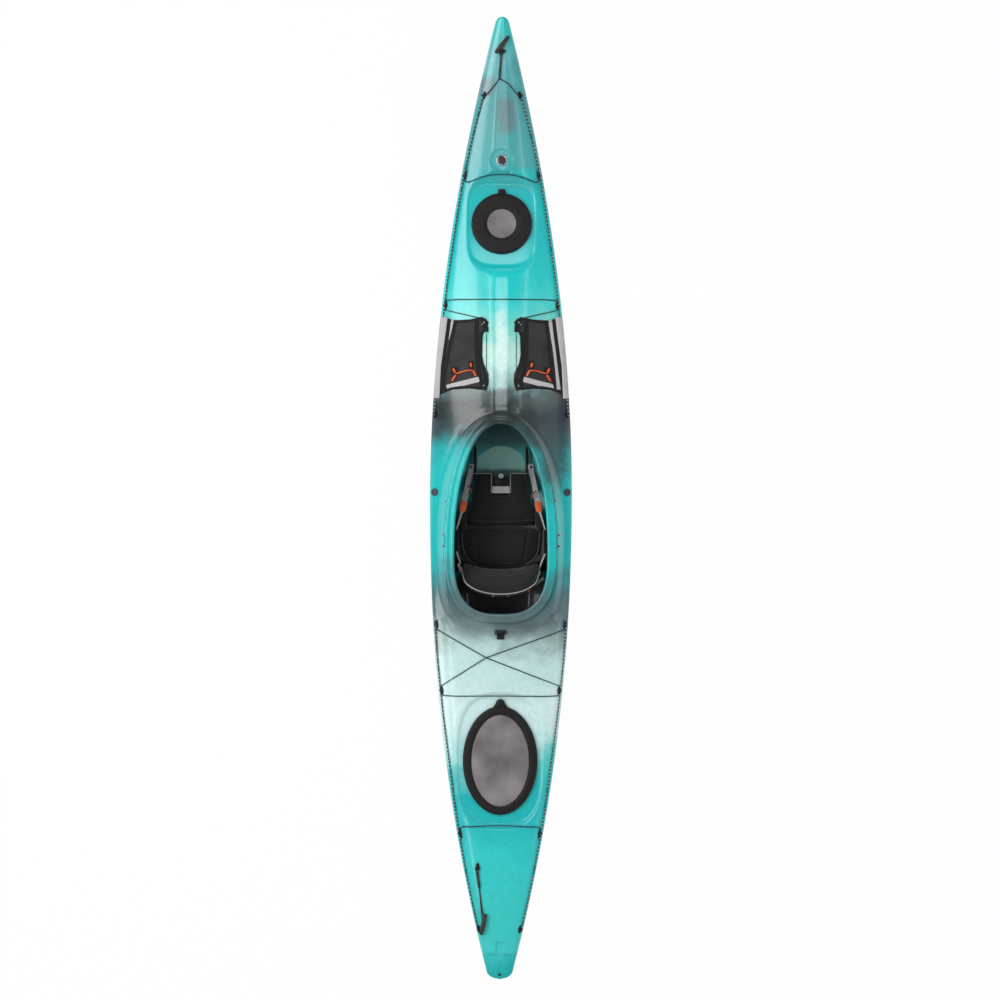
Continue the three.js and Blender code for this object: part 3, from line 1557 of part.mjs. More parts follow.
function seatHanger() {
  const windows = hangerWindowPlaces.map((y) =>
    block(
      seatAt(panHalfWidth - overrun, y - hangerWindowWidth / 2, hangerWindowLow),
      seatAt(panHalfWidth + 2 * overrun, y + hangerWindowWidth / 2, hangerWindowHigh),
    ),
  );
  const pin = rod(
    seatAt(backBossInner + pivotPinInset, backPivotY, backPivotZ),
    seatAt(hangerInner(backPivotZ) + hangerThickness / 2, backPivotY, backPivotZ),
    pivotPinRadius,
    12,
  );
  return subtractAll(hanger(0), windows).add(pin);
}

// A side strap with its buckle and its tag, from the track back to the hanger.
function seatStrap() {
  const points = strapAcross.map((x, i) => seatAt(x, strapAlong[i], strapHeights[i]));
  const strip = ribbon(points, strapWidth, strapThickness);
  const buckle = ribbon([points[2].clone().lerp(points[1], 0.3), points[3]], buckleWidth, buckleHeight);
  const tag = ribbon([points[4], points[5].clone().lerp(points[6], 0.15)], tagWidth, tagThickness);
  return addAll([strip, buckle, tag]).subtract(hanger(touchGap)).subtract(trackKeep());
}

function trackKeep() {
  return block(
    seatAt(trackPlace - trackWidth, trackBack - overrun, 0),
    seatAt(trackPlace + trackWidth, trackFront + overrun, trackTop + touchGap),
  );
}

// Small deck pieces

// The lock bar behind the cockpit: a low block with a tongue that lies back on the deck.
function lockBar() {
  const y = cockpitBackY - islandEdge - islandTail - lockBarBehind;
  const f = deckFrame(0, y);
  const bar = block(
    at(-lockBarHalfWidth, -lockBarDepth / 2, -eyeFoot),
    at(lockBarHalfWidth, lockBarDepth / 2, lockBarHeight),
  );
  const hole = block(
    at(-lockBarHalfWidth / 2, -lockBarDepth, lockBarHeight - lockBarTop - lockBarHoleHeight),
    at(lockBarHalfWidth / 2, lockBarDepth, lockBarHeight - lockBarTop),
  );
  const tongue = block(
    at(-lockTongueHalf, -lockBarDepth / 2 - lockTongueLength, -eyeFoot),
    at(lockTongueHalf, 0, lockTongueHeight),
  );
  return onFrame(bar.add(tongue).subtract(hole), f).subtract(grownHull);
}

function sidePlug(side) {
  const y = sidePlugShare * half;
  const x = side * sidePlugBeamShare * halfBeam(y);
  const f = deckFrame(x, y);
  const topRadius = sidePlugRadius - sidePlugEdge;
  const disc = rod(at(0, 0, -eyeFoot), at(0, 0, sidePlugHeight), sidePlugRadius, 16, topRadius);
  const dish = rod(at(0, 0, sidePlugHeight / 2), at(0, 0, 2 * sidePlugHeight), sidePlugRadius / 2, 12);
  return onFrame(disc.subtract(dish), f).subtract(grownHull);
}

function bulkhead(share) {
  const y = share * half;
  const slab = block(
    at(-hullBeam, y - bulkheadThickness / 2, -overrun),
    at(hullBeam, y + bulkheadThickness / 2, 2 * sheerHeight),
  );
  return slab.intersect(insideFit);
}

// Assembly

function makeKayak() {
  const group = new THREE.Group();
  group.name = "sea_kayak";
  const paint = (color, roughness, metalness = 0) => ({ color, roughness, metalness });
  const paints = {
    shell: paint(0x3cc9c4, 0.3),
    rubber: paint(0x2b2627, 0.75),
    foam: paint(0x4a4c50, 0.9),
    black: paint(0x1b1b1d, 0.5),
    line: paint(0x23262a, 0.8),
    mesh: paint(0x4c4c50, 0.85),
    toggle: paint(0x33363a, 0.55),
    cloth: paint(0x1a1a1c, 0.9),
    webbing: paint(0xb9b9ba, 0.85),
    steel: paint(0xb8bcc0, 0.35, 1),
  };
  const put = (name, solid, look) => group.add(meshOf(name, solid, new THREE.MeshStandardMaterial(look)));
  const pair = (name, solid, look, fit = (side) => side) => {
    put(name + "_left", fit(mirrored(solid)), look);
    put(name + "_right", fit(solid), look);
  };
  const fitInside = (solid) => solid.intersect(insideFit);

  put("hull", hullSolid, paints.shell);
  put("bow_bulkhead", bulkhead(bowBulkheadShare), paints.foam);
  put("stern_bulkhead", bulkhead(sternBulkheadShare), paints.foam);

  put("bow_hatch_rim", hatchRim(bowHatchOutline, bowFloorZ), paints.black);
  put("bow_hatch_cover", hatchCover(bowHatchOutline, bowFloorZ, bowHatchRadius - bowPanelRadius)
    .add(hatchTab(bowTab, bowHatchY, bowHatchRadius, bowFloorZ)), paints.rubber);
  put("bow_hatch_panel", hatchPanel(bowHatchOutline, bowFloorZ, bowHatchRadius - bowPanelRadius), paints.mesh);
  put("stern_hatch_rim", hatchRim(sternHatchOutline, sternFloorZ), paints.black);
  put("stern_hatch_cover", hatchCover(sternHatchOutline, sternFloorZ, sternHatchHalfWidth - sternPanelHalfWidth)
    .add(hatchTab(sternTab, sternHatchY, sternHatchHalfLength, sternFloorZ)), paints.rubber);
  put(
    "stern_hatch_panel",
    hatchPanel(sternHatchOutline, sternFloorZ, sternHatchHalfWidth - sternPanelHalfWidth),
    paints.mesh,
  );

  for (const [label, side] of [["left", -1], ["right", 1]]) {
    put("pad_eye_bow_" + label, handleEye(eyeFrame(bowEye, side)), paints.black);
    for (const eye of [...lineEyes, sternEye])
      put("pad_eye_" + eye.name + "_" + label, lineEye(eyeFrame(eye, side)), paints.black);
    put("grab_line_fore_" + label, grabLine([{ ...bowEye, turned: true }, ...lineEyes.slice(0, 3)], side, -1), paints.line);
    put("grab_line_aft_" + label, grabLine([...lineEyes.slice(3), sternEye], side, 1), paints.line);
    put("side_plug_" + label, sidePlug(side), paints.black);
  }
  put("bungee_fore", crossElastic(lineEyes[0], -1, foreElasticArch), paints.line);
  put("bungee_hatch", hatchElastic(lineEyes[1]), paints.line);
  put("bungee_rear", rearElastic(lineEyes[3], lineEyes[4]), paints.line);
  put("bungee_aft", crossElastic(lineEyes[5], 1, aftElasticArch), paints.line);
  pair("mesh_pocket", pocket(), paints.mesh);
  put("lock_bar", lockBar(), paints.black);

  put("bow_handle", bowHandle(), paints.toggle);
  const sternPlace = { y: sternHandleShare * half };
  const sternFrame = deckFrame(-sternHandleBeamShare * halfBeam(sternPlace.y), sternPlace.y);
  put("pad_eye_stern_handle", handleEye(sternFrame), paints.black);
  put("stern_handle", sternHandle(sternFrame), paints.toggle);

  const brace = railFrame();
  pair("foot_rail", rail(brace), paints.black, fitInside);
  pair("foot_pedal", pedal(brace), paints.black);
  pair("pedal_lever", lever(brace), paints.webbing);

  put("seat_pan", seatPan(), paints.black);
  pair("seat_track", seatTrack(), paints.black, fitInside);
  put("seat_pad", seatPad(), paints.cloth);
  put("leg_lift_plate", legPlate(), paints.black);
  put("leg_lift_pad", legPad(), paints.cloth);
  put("leg_lift_adjuster", legAdjuster(), paints.black);
  put("seat_back_frame", backFrame(), paints.black);
  put("seat_back_pad", backPad(), paints.cloth);
  pair("seat_hanger", seatHanger(), paints.black, fitInside);
  pair("seat_strap", seatStrap(), paints.webbing);
  return group;
}

export default makeKayak();
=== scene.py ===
"""Looks of a single-seat touring sea kayak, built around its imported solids.

The hull is one rotomoulded polyethylene shell with a marbled colour that changes along its length.
Everything is in metres in the part's frame: +X starboard, +Y bow, +Z up, the keel flat on z = 0.
Lengths in the classes are in millimetres, as a boat builder gives them, and turn to metres in the meshes.
"""

import json
import logging
import math
from collections.abc import Sequence
from dataclasses import dataclass, field
from enum import Enum

import bpy
import numpy as np
from mathutils import Matrix

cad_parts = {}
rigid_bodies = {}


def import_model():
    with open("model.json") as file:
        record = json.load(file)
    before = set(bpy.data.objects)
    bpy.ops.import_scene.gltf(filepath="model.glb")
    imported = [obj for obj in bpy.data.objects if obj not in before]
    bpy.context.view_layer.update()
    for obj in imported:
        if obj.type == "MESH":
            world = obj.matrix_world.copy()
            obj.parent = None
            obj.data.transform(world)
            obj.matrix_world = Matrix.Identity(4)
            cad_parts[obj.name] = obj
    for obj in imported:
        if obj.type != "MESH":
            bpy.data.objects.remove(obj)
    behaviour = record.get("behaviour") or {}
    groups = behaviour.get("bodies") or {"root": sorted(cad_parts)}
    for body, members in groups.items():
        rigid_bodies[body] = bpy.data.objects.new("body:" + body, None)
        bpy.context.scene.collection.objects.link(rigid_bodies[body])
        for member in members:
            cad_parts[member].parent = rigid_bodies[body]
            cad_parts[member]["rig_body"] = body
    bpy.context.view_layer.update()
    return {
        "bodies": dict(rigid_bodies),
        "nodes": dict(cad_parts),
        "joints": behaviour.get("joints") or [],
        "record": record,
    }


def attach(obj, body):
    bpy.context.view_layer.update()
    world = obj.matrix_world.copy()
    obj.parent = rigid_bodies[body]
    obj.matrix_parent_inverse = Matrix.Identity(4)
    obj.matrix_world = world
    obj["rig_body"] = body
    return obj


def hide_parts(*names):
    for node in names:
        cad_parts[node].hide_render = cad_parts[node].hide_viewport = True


MM = 0.001
LOG = logging.getLogger("kayak")
Array = np.ndarray
Point = tuple[float, float]
Piece = bpy.types.Object
Material = bpy.types.Material
Socket = bpy.types.NodeSocket


class Side(Enum):
    """The two sides of the boat, as the sign of X."""

    LEFT = -1
    RIGHT = 1

    @property
    def label(self) -> str:
        """The side's word in a piece's name."""
        return self.name.lower()

    def mirror(self, places: Sequence) -> Array:
        """Rows of (out from the middle, along) on this side, as x and y."""
        return np.asarray(places, float) * np.array([self.value, 1.0])


# Numbers and surfaces


def smoothstep(value: Array, low: float, high: float) -> Array:
    """A smooth rise from 0 at low to 1 at high: 3t^2 - 2t^3 of the clamped share t."""
    t = np.clip((value - low) / (high - low), 0.0, 1.0)
    return t * t * (3.0 - 2.0 * t)


def lerp(a: Array | float, b: Array | float, t: Array | float) -> Array | float:
    """A straight blend from a to b by t."""
    return a + (b - a) * t


def smooth_max(a: Array, b: Array, soft: float) -> Array:
    """The greater of two heights with a fillet: half of a + b + root((a - b)^2 + soft^2)."""
    return 0.5 * (a + b + np.sqrt((a - b) ** 2 + soft**2))


def smooth_min(a: Array, b: Array, soft: float) -> Array:
    """The lesser of two heights with a fillet: half of a + b - root((a - b)^2 + soft^2)."""
    return 0.5 * (a + b - np.sqrt((a - b) ** 2 + soft**2))


def rounded(points: Sequence[Point], passes: int = 2, closed: bool = True) -> Array:
    """Cuts a polygon's corners: each pass puts points at a quarter and three quarters of every edge.

    Args:
        points: The polygon's corners.
        passes: How many times the corners are cut.
        closed: Whether the last point joins the first.

    Returns:
        The rounder polygon, as rows of numbers.
    """
    ring = np.asarray(points, float)
    for _ in range(passes):
        after = np.roll(ring, -1, axis=0)
        low, high = lerp(ring, after, 0.25), lerp(ring, after, 0.75)
        cut = np.stack([low, high], axis=1).reshape(-1, ring.shape[1])
        ring = cut if closed else np.vstack([ring[:1], cut[:-2], ring[-1:]])
    return ring


def resampled(points: Sequence, count: int) -> Array:
    """Points at equal steps of length along an open line of points.

    Args:
        points: Rows of numbers.
        count: How many points.

    Returns:
        The points.
    """
    points = np.asarray(points, float)
    run = np.concatenate([[0.0], np.cumsum(np.linalg.norm(np.diff(points, axis=0), axis=1))])
    places = np.linspace(0.0, run[-1], count)
    return np.stack([np.interp(places, run, points[:, k]) for k in range(points.shape[1])], axis=1)


def catmull(points: Sequence, steps: int) -> Array:
    """A smooth line through points: Catmull-Rom cubics, steps to a span.

    Args:
        points: Rows of numbers.
        steps: Points to a span.

    Returns:
        The line's points.
    """
    p = np.asarray(points, float)
    p = np.vstack([2 * p[0] - p[1], p, 2 * p[-1] - p[-2]])
    t = np.linspace(0.0, 1.0, steps, endpoint=False)[None, :, None]
    a, b, c, d = (p[k : len(p) - 3 + k, None, :] for k in range(4))
    spans = 0.5 * (2 * b + (c - a) * t + (2 * a - 5 * b + 4 * c - d) * t**2 + (3 * b - a - 3 * c + d) * t**3)
    return np.vstack([spans.reshape(-1, p.shape[1]), p[-2:-1]])


def quads_of(rows: int, columns: int, close_rows: bool = False) -> Array:
    """Corner numbers of the faces between rows of points, where each row is a closed ring.

    Args:
        rows: Rows of points.
        columns: Points to a row.
        close_rows: Whether the last row meets the first.

    Returns:
        Four corner numbers to a face.
    """
    i = np.arange(rows if close_rows else rows - 1)
    ii, jj = np.meshgrid(i, np.arange(columns), indexing="ij")
    up, right = (ii + 1) % rows, (jj + 1) % columns
    return np.stack(
        [ii * columns + jj, ii * columns + right, up * columns + right, up * columns + jj], axis=-1
    ).reshape(-1, 4)


def placed(name: str, data: bpy.types.ID) -> Piece:
    """A new object of some data, linked to the scene.

    Args:
        name: Its name.
        data: Its mesh, lamp or camera.

    Returns:
        The object.
    """
    item = bpy.data.objects.new(name, data)
    bpy.context.scene.collection.objects.link(item)
    return item


def mesh_piece(
    name: str, points: Array, faces: Sequence, material: Material, body: str = "hull", smooth: float = 40.0
) -> Piece:
    """Makes a piece from points in millimetres and faces, and lets it ride on a body.

    Args:
        name: The piece's name.
        points: Rows of x, y, z in millimetres.
        faces: Lists of corner numbers, any count to a face.
        material: The finish of all its faces.
        body: The moving body that carries it.
        smooth: The widest angle, in degrees, that still shades as one surface.

    Returns:
        The piece.
    """
    data = bpy.data.meshes.new(name)
    data.from_pydata((np.asarray(points, float).reshape(-1, 3) * MM).tolist(), [], [list(map(int, f)) for f in faces])
    data.validate()
    data.materials.append(material)
    data.polygons.foreach_set("use_smooth", np.ones(len(data.polygons), bool))
    piece = placed(name, data)
    data.set_sharp_from_angle(angle=math.radians(smooth))
    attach(piece, body)
    LOG.info("%s: %d faces", name, len(data.polygons))
    return piece


def face_outwards(piece: Piece) -> None:
    """Turns all faces of a closed mesh to point out, by the sign of its volume summed over its faces.

    Args:
        piece: The piece, with a closed mesh.
    """
    mesh = piece.data
    mesh.calc_loop_triangles()
    tri = np.empty(len(mesh.loop_triangles) * 3, int)
    mesh.loop_triangles.foreach_get("vertices", tri)
    a, b, c = (points_of(mesh)[tri.reshape(-1, 3)[:, k]] for k in range(3))
    if np.einsum("ij,ij->i", a, np.cross(b, c)).sum() < 0:
        mesh.flip_normals()


def ring_loft(rings: Array, close_rows: bool) -> tuple[Array, list]:
    """Points and faces of a skin through closed rings of equal count, joined to itself or capped flat at its ends.

    Args:
        rings: Rows of rings of points.
        close_rows: Whether the last row meets the first.

    Returns:
        The points and the faces.
    """
    rows, columns = rings.shape[:2]
    faces = quads_of(rows, columns, close_rows).tolist()
    if not close_rows:
        faces.append(list(range(columns))[::-1])
        faces.append(list(range((rows - 1) * columns, rows * columns)))
    return rings.reshape(-1, 3), faces


def solid_piece(
    name: str, rings: Array, material: Material, body: str = "hull", close_rows: bool = False, smooth: float = 40.0
) -> Piece:
    """A closed piece through rings, capped at its ends or joined to itself.

    Args:
        name: The piece's name.
        rings: Rows of rings of points.
        material: Its finish.
        body: The body that carries it.
        close_rows: Whether the last row meets the first.
        smooth: The widest smooth-shaded angle, in degrees.

    Returns:
        The piece.
    """
    piece = mesh_piece(name, *ring_loft(np.asarray(rings, float), close_rows), material, body, smooth)
    face_outwards(piece)
    return piece


def frames_along(path: Array) -> tuple[Array, Array, Array]:
    """Unit tangents, level sides and ups at each point of a path: side is tangent cross +Z.

    Args:
        path: Rows of x, y, z.

    Returns:
        Tangents, sides and ups.
    """
    tangent = np.gradient(path, axis=0)
    tangent /= np.linalg.norm(tangent, axis=1)[:, None]
    side = np.cross(tangent, np.array([0.0, 0.0, 1.0]))
    side /= np.maximum(np.linalg.norm(side, axis=1), 1e-9)[:, None]
    return tangent, side, np.cross(side, tangent)


def swept(path: Array, section: Array) -> Array:
    """Rings of a section carried along a path: centre + u * side + v * up.

    Args:
        path: Rows of x, y, z.
        section: Rows of u, v, or such rows for each point.

    Returns:
        A ring for each point of the path.
    """
    _, side, up = frames_along(path)
    section = np.broadcast_to(section, (len(path),) + section.shape[-2:])
    return path[:, None, :] + section[..., 0:1] * side[:, None, :] + section[..., 1:2] * up[:, None, :]


def round_section(radius: float | Array, sides: int = 12) -> Array:
    """A circle's points, or one circle for each radius of a list.

    Args:
        radius: One radius, or one for each circle.
        sides: Points to a circle.

    Returns:
        Rows of u, v.
    """
    turn = np.linspace(0.0, 2 * math.pi, sides, endpoint=False)
    circle = np.stack([np.cos(turn), np.sin(turn)], axis=-1)
    return np.asarray(radius)[..., None, None] * circle if np.ndim(radius) else radius * circle


def circles(x: float, y: float, z: float, steps: Sequence[Point], sides: int = 20) -> Array:
    """Level circles stacked over a place: r * cos and r * sin of a turn, one circle for each step.

    Args:
        x: The stack's place across the boat.
        y: The stack's place along the boat.
        z: Height of the stack's foot.
        steps: Radius of each circle and its height over the foot.
        sides: Points to a circle.

    Returns:
        A ring of points for each step.
    """
    turn = np.linspace(0, 2 * math.pi, sides, endpoint=False)
    cosine, sine = np.cos(turn), np.sin(turn)
    return np.array([np.column_stack([x + r * cosine, y + r * sine, np.full(sides, z + h)]) for r, h in steps])


def plates(plan: Array, steps: Sequence[Point]) -> Array:
    """A plan outline stacked and drawn in about its middle: middle + (plan - middle) * share, for each step.

    Args:
        plan: Rows of x, y of the outline.
        steps: Share and height of each ring.

    Returns:
        A ring of points for each step.
    """
    middle = plan.mean(axis=0)
    return np.array([np.column_stack([middle + (plan - middle) * share, np.full(len(plan), z)]) for share, z in steps])


def points_of(mesh: bpy.types.Mesh) -> Array:
    """A mesh's points as rows of x, y, z in metres.

    Args:
        mesh: The mesh.

    Returns:
        The rows.
    """
    co = np.empty(len(mesh.vertices) * 3)
    mesh.vertices.foreach_get("co", co)
    return co.reshape(-1, 3)


def put_points(mesh: bpy.types.Mesh, co: Array) -> None:
    """Puts rows of x, y, z in metres into a mesh."""
    mesh.vertices.foreach_set("co", co.ravel())
    mesh.update()


# Materials


def linear(hex_colour: str) -> tuple[float, float, float, float]:
    """An sRGB hex colour as linear red, green, blue and alpha 1."""
    parts = [int(hex_colour[k : k + 2], 16) / 255 for k in (1, 3, 5)]
    return tuple(v / 12.92 if v <= 0.04045 else ((v + 0.055) / 1.055) ** 2.4 for v in parts) + (1.0,)


@dataclass
class NodeGraph:
    """The node tree of a material or of the world, with one way to add a node.

    Attributes:
        name: Its name, for a material from the real stuff and process.
        world: Whether it is the world's.
        owner: The material or world that holds the tree.
        output: The node that takes the finished surface.
    """

    name: str
    world: bool = False
    owner: bpy.types.ID = field(init=False)
    output: bpy.types.Node = field(init=False)

    def __post_init__(self) -> None:
        """Starts the tree empty but for its output."""
        self.owner = (bpy.data.worlds if self.world else bpy.data.materials).new(self.name)
        self.owner.use_nodes = True
        self.owner.node_tree.nodes.clear()
        self.output = self.add("ShaderNodeOutputWorld" if self.world else "ShaderNodeOutputMaterial")

    def link(self, start: Socket, end: Socket) -> None:
        """Joins an output to an input."""
        self.owner.node_tree.links.new(start, end)

    def add(self, kind: str, inputs: dict | None = None, **settings: object) -> bpy.types.Node:
        """Adds a node.

        Args:
            kind: The node's Blender type.
            inputs: Socket name or number to a value, or to another node's output to link from.
            **settings: The node's own properties.

        Returns:
            The node.
        """
        node = self.owner.node_tree.nodes.new(kind)
        for key, value in settings.items():
            setattr(node, key, value)
        for key, value in (inputs or {}).items():
            socket = node.inputs[key]
            if isinstance(value, Socket):
                self.link(value, socket)
            else:
                socket.default_value = value
        return node

    def object_point(self) -> Socket:
        """The place of the shaded point, in metres in the part's frame."""
        return self.add("ShaderNodeTexCoord").outputs["Object"]

    def axes(self, point: Socket) -> bpy.types.bpy_prop_collection:
        """A place's X, Y and Z."""
        return self.add("ShaderNodeSeparateXYZ", {"Vector": point}).outputs

    def wave(self, place: Socket, pitch_mm: float) -> Socket:
        """A sine wave along one axis, a turn to each pitch_mm."""
        return self.math("SINE", self.math("MULTIPLY", place, 2 * math.pi / (pitch_mm * MM)))

    def ramp(self, factor: Socket, stops: Sequence[tuple[float, str]]) -> Socket:
        """A colour ramp by places and hex colours.

        Args:
            factor: The place on the ramp.
            stops: Places and hex colours.

        Returns:
            The colour.
        """
        node = self.add("ShaderNodeValToRGB", {"Fac": factor})
        elements = node.color_ramp.elements
        while len(elements) < len(stops):
            elements.new(0.5)
        for element, (place, colour) in zip(elements, sorted(stops)):
            element.position = place
            element.color = linear(colour)
        return node.outputs["Color"]

    def noise(
        self, point: Socket, scale: float, detail: float = 2.0, rough: float = 0.5, distortion: float = 0.0
    ) -> Socket:
        """A cloud pattern between 0 and 1, scale lumps to the metre."""
        made = {"Vector": point, "Scale": scale, "Detail": detail, "Roughness": rough, "Distortion": distortion}
        return self.add("ShaderNodeTexNoise", made).outputs["Fac"]

    def between(
        self, value: Socket, low: float, high: float, to_low: float = 0.0, to_high: float = 1.0, smooth: bool = False
    ) -> Socket:
        """A value's share of a range, put to another range and clamped.

        Args:
            value: The value.
            low: The range's low end.
            high: Its high end.
            to_low: What low becomes.
            to_high: What high becomes.
            smooth: Whether the blend is eased.

        Returns:
            The new value.
        """
        made = {"Value": value, "From Min": low, "From Max": high, "To Min": to_low, "To Max": to_high}
        kind = "SMOOTHSTEP" if smooth else "LINEAR"
        return self.add("ShaderNodeMapRange", made, interpolation_type=kind).outputs["Result"]

    def math(self, operation: str, *values: object) -> Socket:
        """One sum on sockets or numbers."""
        return self.add("ShaderNodeMath", dict(enumerate(values)), operation=operation).outputs["Value"]

    def mix(self, factor: object, a: object, b: object) -> Socket:
        """A blend of two colours."""
        a, b = (linear(colour) if isinstance(colour, str) else colour for colour in (a, b))
        return self.add("ShaderNodeMix", {0: factor, 6: a, 7: b}, data_type="RGBA").outputs[2]

    def bump(self, height: Socket, depth_mm: float) -> Socket:
        """A bump of a height pattern, as deep as depth_mm."""
        return self.add(
            "ShaderNodeBump", {"Height": height, "Distance": depth_mm * MM, "Strength": 1.0}
        ).outputs["Normal"]

    def shade(self, **inputs: object) -> Material:
        """Joins one Principled shader to the output, by socket names with _ for a space.

        Returns:
            The material.
        """
        made = {key.replace("_", " "): value for key, value in inputs.items()}
        shader = self.add("ShaderNodeBsdfPrincipled", made)
        self.link(shader.outputs[0], self.output.inputs["Surface"])
        return self.owner


@dataclass(frozen=True)
class ColourBand:
    """A band of pigment along the hull: its place along the boat and its colour."""

    along: float
    colour: str


@dataclass(frozen=True)
class Blotch:
    """A cloud of another pigment over the bands, or a cloud of painted light or shade.

    Attributes:
        centre: Its middle, across and along, in millimetres.
        reach: Its half size, across and along.
        colour: Its colour.
        strength: How much of the band it covers.
        soft: How soft and ragged its edge is.
    """

    centre: Point
    reach: Point
    colour: str
    strength: float = 0.8
    soft: float = 0.8


@dataclass(frozen=True)
class MarbledPolyethylene:
    """Rotomoulded polyethylene with several powders in one mould: soft-edged bands and clouds, and blotches that are
    other pigment or painted light and shade.

    It gives the eye a clean, slightly waxy gloss over colours that run into each other.
    """

    name: str
    bands: tuple[ColourBand, ...]
    blotches: tuple[Blotch, ...]
    length: float
    roughness: float = 0.21

    def make(self) -> Material:
        """Builds the material: bands by place along the hull, bent by clouds, with blotches over them.

        Returns:
            The material.
        """
        g = NodeGraph(self.name)
        point = g.object_point()
        split = g.axes(point)
        cloud = g.noise(point, 3.2, 3.0, 0.55, 0.6)
        wisp = g.noise(point, 11.0, 4.0, 0.6, 1.2)
        bent = g.math("MULTIPLY_ADD", g.math("SUBTRACT", cloud, 0.5), 0.34, split["Y"])
        bent = g.math("MULTIPLY_ADD", g.math("SUBTRACT", wisp, 0.5), 0.09, bent)
        half = self.length * MM / 2
        along = g.between(bent, -half, half)
        colour = g.ramp(along, [(b.along / self.length + 0.5, b.colour) for b in self.bands])
        for blotch in self.blotches:
            (x, y), (rx, ry) = blotch.centre, blotch.reach
            dx = g.math("DIVIDE", g.math("SUBTRACT", split["X"], x * MM), rx * MM)
            dy = g.math("DIVIDE", g.math("SUBTRACT", split["Y"], y * MM), ry * MM)
            away = g.math("SQRT", g.math("ADD", g.math("MULTIPLY", dx, dx), g.math("MULTIPLY", dy, dy)))
            away = g.math("MULTIPLY_ADD", g.math("SUBTRACT", wisp, 0.5), 1.4 * blotch.soft, away)
            edge = (1.0 + 0.2 * blotch.soft, 1.0 - 0.8 * blotch.soft)
            colour = g.mix(g.between(away, *edge, 0.0, blotch.strength, True), colour, blotch.colour)
        mottle = g.noise(point, 38.0, 3.0, 0.6, 0.8)
        colour = g.mix(g.between(mottle, 0.35, 0.7, 0.0, 0.12), colour, "#1d6a72")
        bump = g.bump(g.noise(point, 16.0, 2.0), 0.35)
        return g.shade(
            Base_Color=colour, Roughness=self.roughness, IOR=1.51, Normal=bump, Coat_Weight=0.35, Coat_Roughness=0.08
        )


@dataclass(frozen=True)
class Moulded:
    """A moulded plastic or rubber: one colour with faint clouds, and a fine grain of grain_mm."""

    name: str
    colour: str
    second: str
    roughness: float
    grain_mm: float = 1.2
    depth_mm: float = 0.05
    cloud_scale: float = 18.0
    metallic: float = 0.0

    def make(self) -> Material:
        """Builds the material.

        Returns:
            The material.
        """
        g = NodeGraph(self.name)
        point = g.object_point()
        colour = g.mix(g.between(g.noise(point, self.cloud_scale, 3.0), 0.35, 0.68), self.colour, self.second)
        grain = g.noise(point, 1000.0 / self.grain_mm, 1.0)
        rough = g.between(g.noise(point, 40.0, 2.0), 0.3, 0.7, self.roughness - 0.05, self.roughness + 0.05)
        bump = g.bump(grain, self.depth_mm)
        return g.shade(Base_Color=colour, Roughness=rough, IOR=1.5, Metallic=self.metallic, Normal=bump)


@dataclass(frozen=True)
class Woven:
    """A woven cloth or webbing: threads of pitch_mm both ways, by sine waves across and along."""

    name: str
    colour: str
    second: str
    pitch_mm: float = 2.5
    depth_mm: float = 0.3
    roughness: float = 0.85
    sheen: float = 0.15
    patch: float = 7.0

    def make(self) -> Material:
        """Builds the material.

        Returns:
            The material.
        """
        g = NodeGraph(self.name)
        point = g.object_point()
        split = g.axes(point)
        warp, weft = (g.wave(split[axis], self.pitch_mm) for axis in ("X", "Y"))
        weave = g.between(g.math("MULTIPLY", warp, weft), -1.0, 1.0)
        cloud = g.between(g.noise(point, self.patch, 3.0), 0.3, 0.7)
        shade = g.math("MULTIPLY_ADD", weave, 0.35, g.math("MULTIPLY", cloud, 0.65))
        colour = g.mix(shade, self.colour, self.second)
        bump = g.bump(weave, self.depth_mm)
        return g.shade(
            Base_Color=colour, Roughness=self.roughness, Normal=bump, Sheen_Weight=self.sheen, Sheen_Roughness=0.5
        )


@dataclass(frozen=True)
class FleckedCord:
    """Braided cord with a bright tracer: light flecks a few millimetres long at every turn of the braid."""

    name: str
    colour: str
    fleck: str
    pitch_mm: float
    amount: float

    def make(self) -> Material:
        """Builds the material: the flecks lie where a wave along the boat meets a coarse noise.

        Returns:
            The material.
        """
        g = NodeGraph(self.name)
        point = g.object_point()
        split = g.axes(point)
        wave = g.wave(split["Y"], self.pitch_mm)
        patchy = g.math("MULTIPLY_ADD", g.noise(point, 55.0, 1.0), 1.6, -0.8)
        fleck = g.between(g.math("ADD", wave, patchy), 1.0 - self.amount, 1.15 - self.amount)
        colour = g.mix(fleck, self.colour, self.fleck)
        braid = g.noise(point, 900.0, 1.0)
        return g.shade(Base_Color=colour, Roughness=0.8, Normal=g.bump(braid, 0.3))


@dataclass(frozen=True)
class MeshCloth:
    """Open mesh netting over the deck: a square net of pitch_mm with the dark cloth behind it."""

    name: str
    colour: str
    hole: str
    pitch_mm: float = 5.0

    def make(self) -> Material:
        """Builds the material: a product of two sine waves darkens the holes of the net.

        Returns:
            The material.
        """
        g = NodeGraph(self.name)
        point = g.object_point()
        split = g.axes(point)
        net = g.math("MULTIPLY", g.wave(split["X"], self.pitch_mm), g.wave(split["Y"], self.pitch_mm))
        holes = g.between(net, 0.2, 0.7, 0.0, 0.55)
        cloud = g.noise(point, 9.0, 3.0, 0.6, 0.5)
        cloth = g.mix(g.between(cloud, 0.35, 0.7), self.colour, "#373537")
        return g.shade(
            Base_Color=g.mix(holes, cloth, self.hole), Roughness=0.7, Normal=g.bump(net, 0.3), Sheen_Weight=0.1
        )


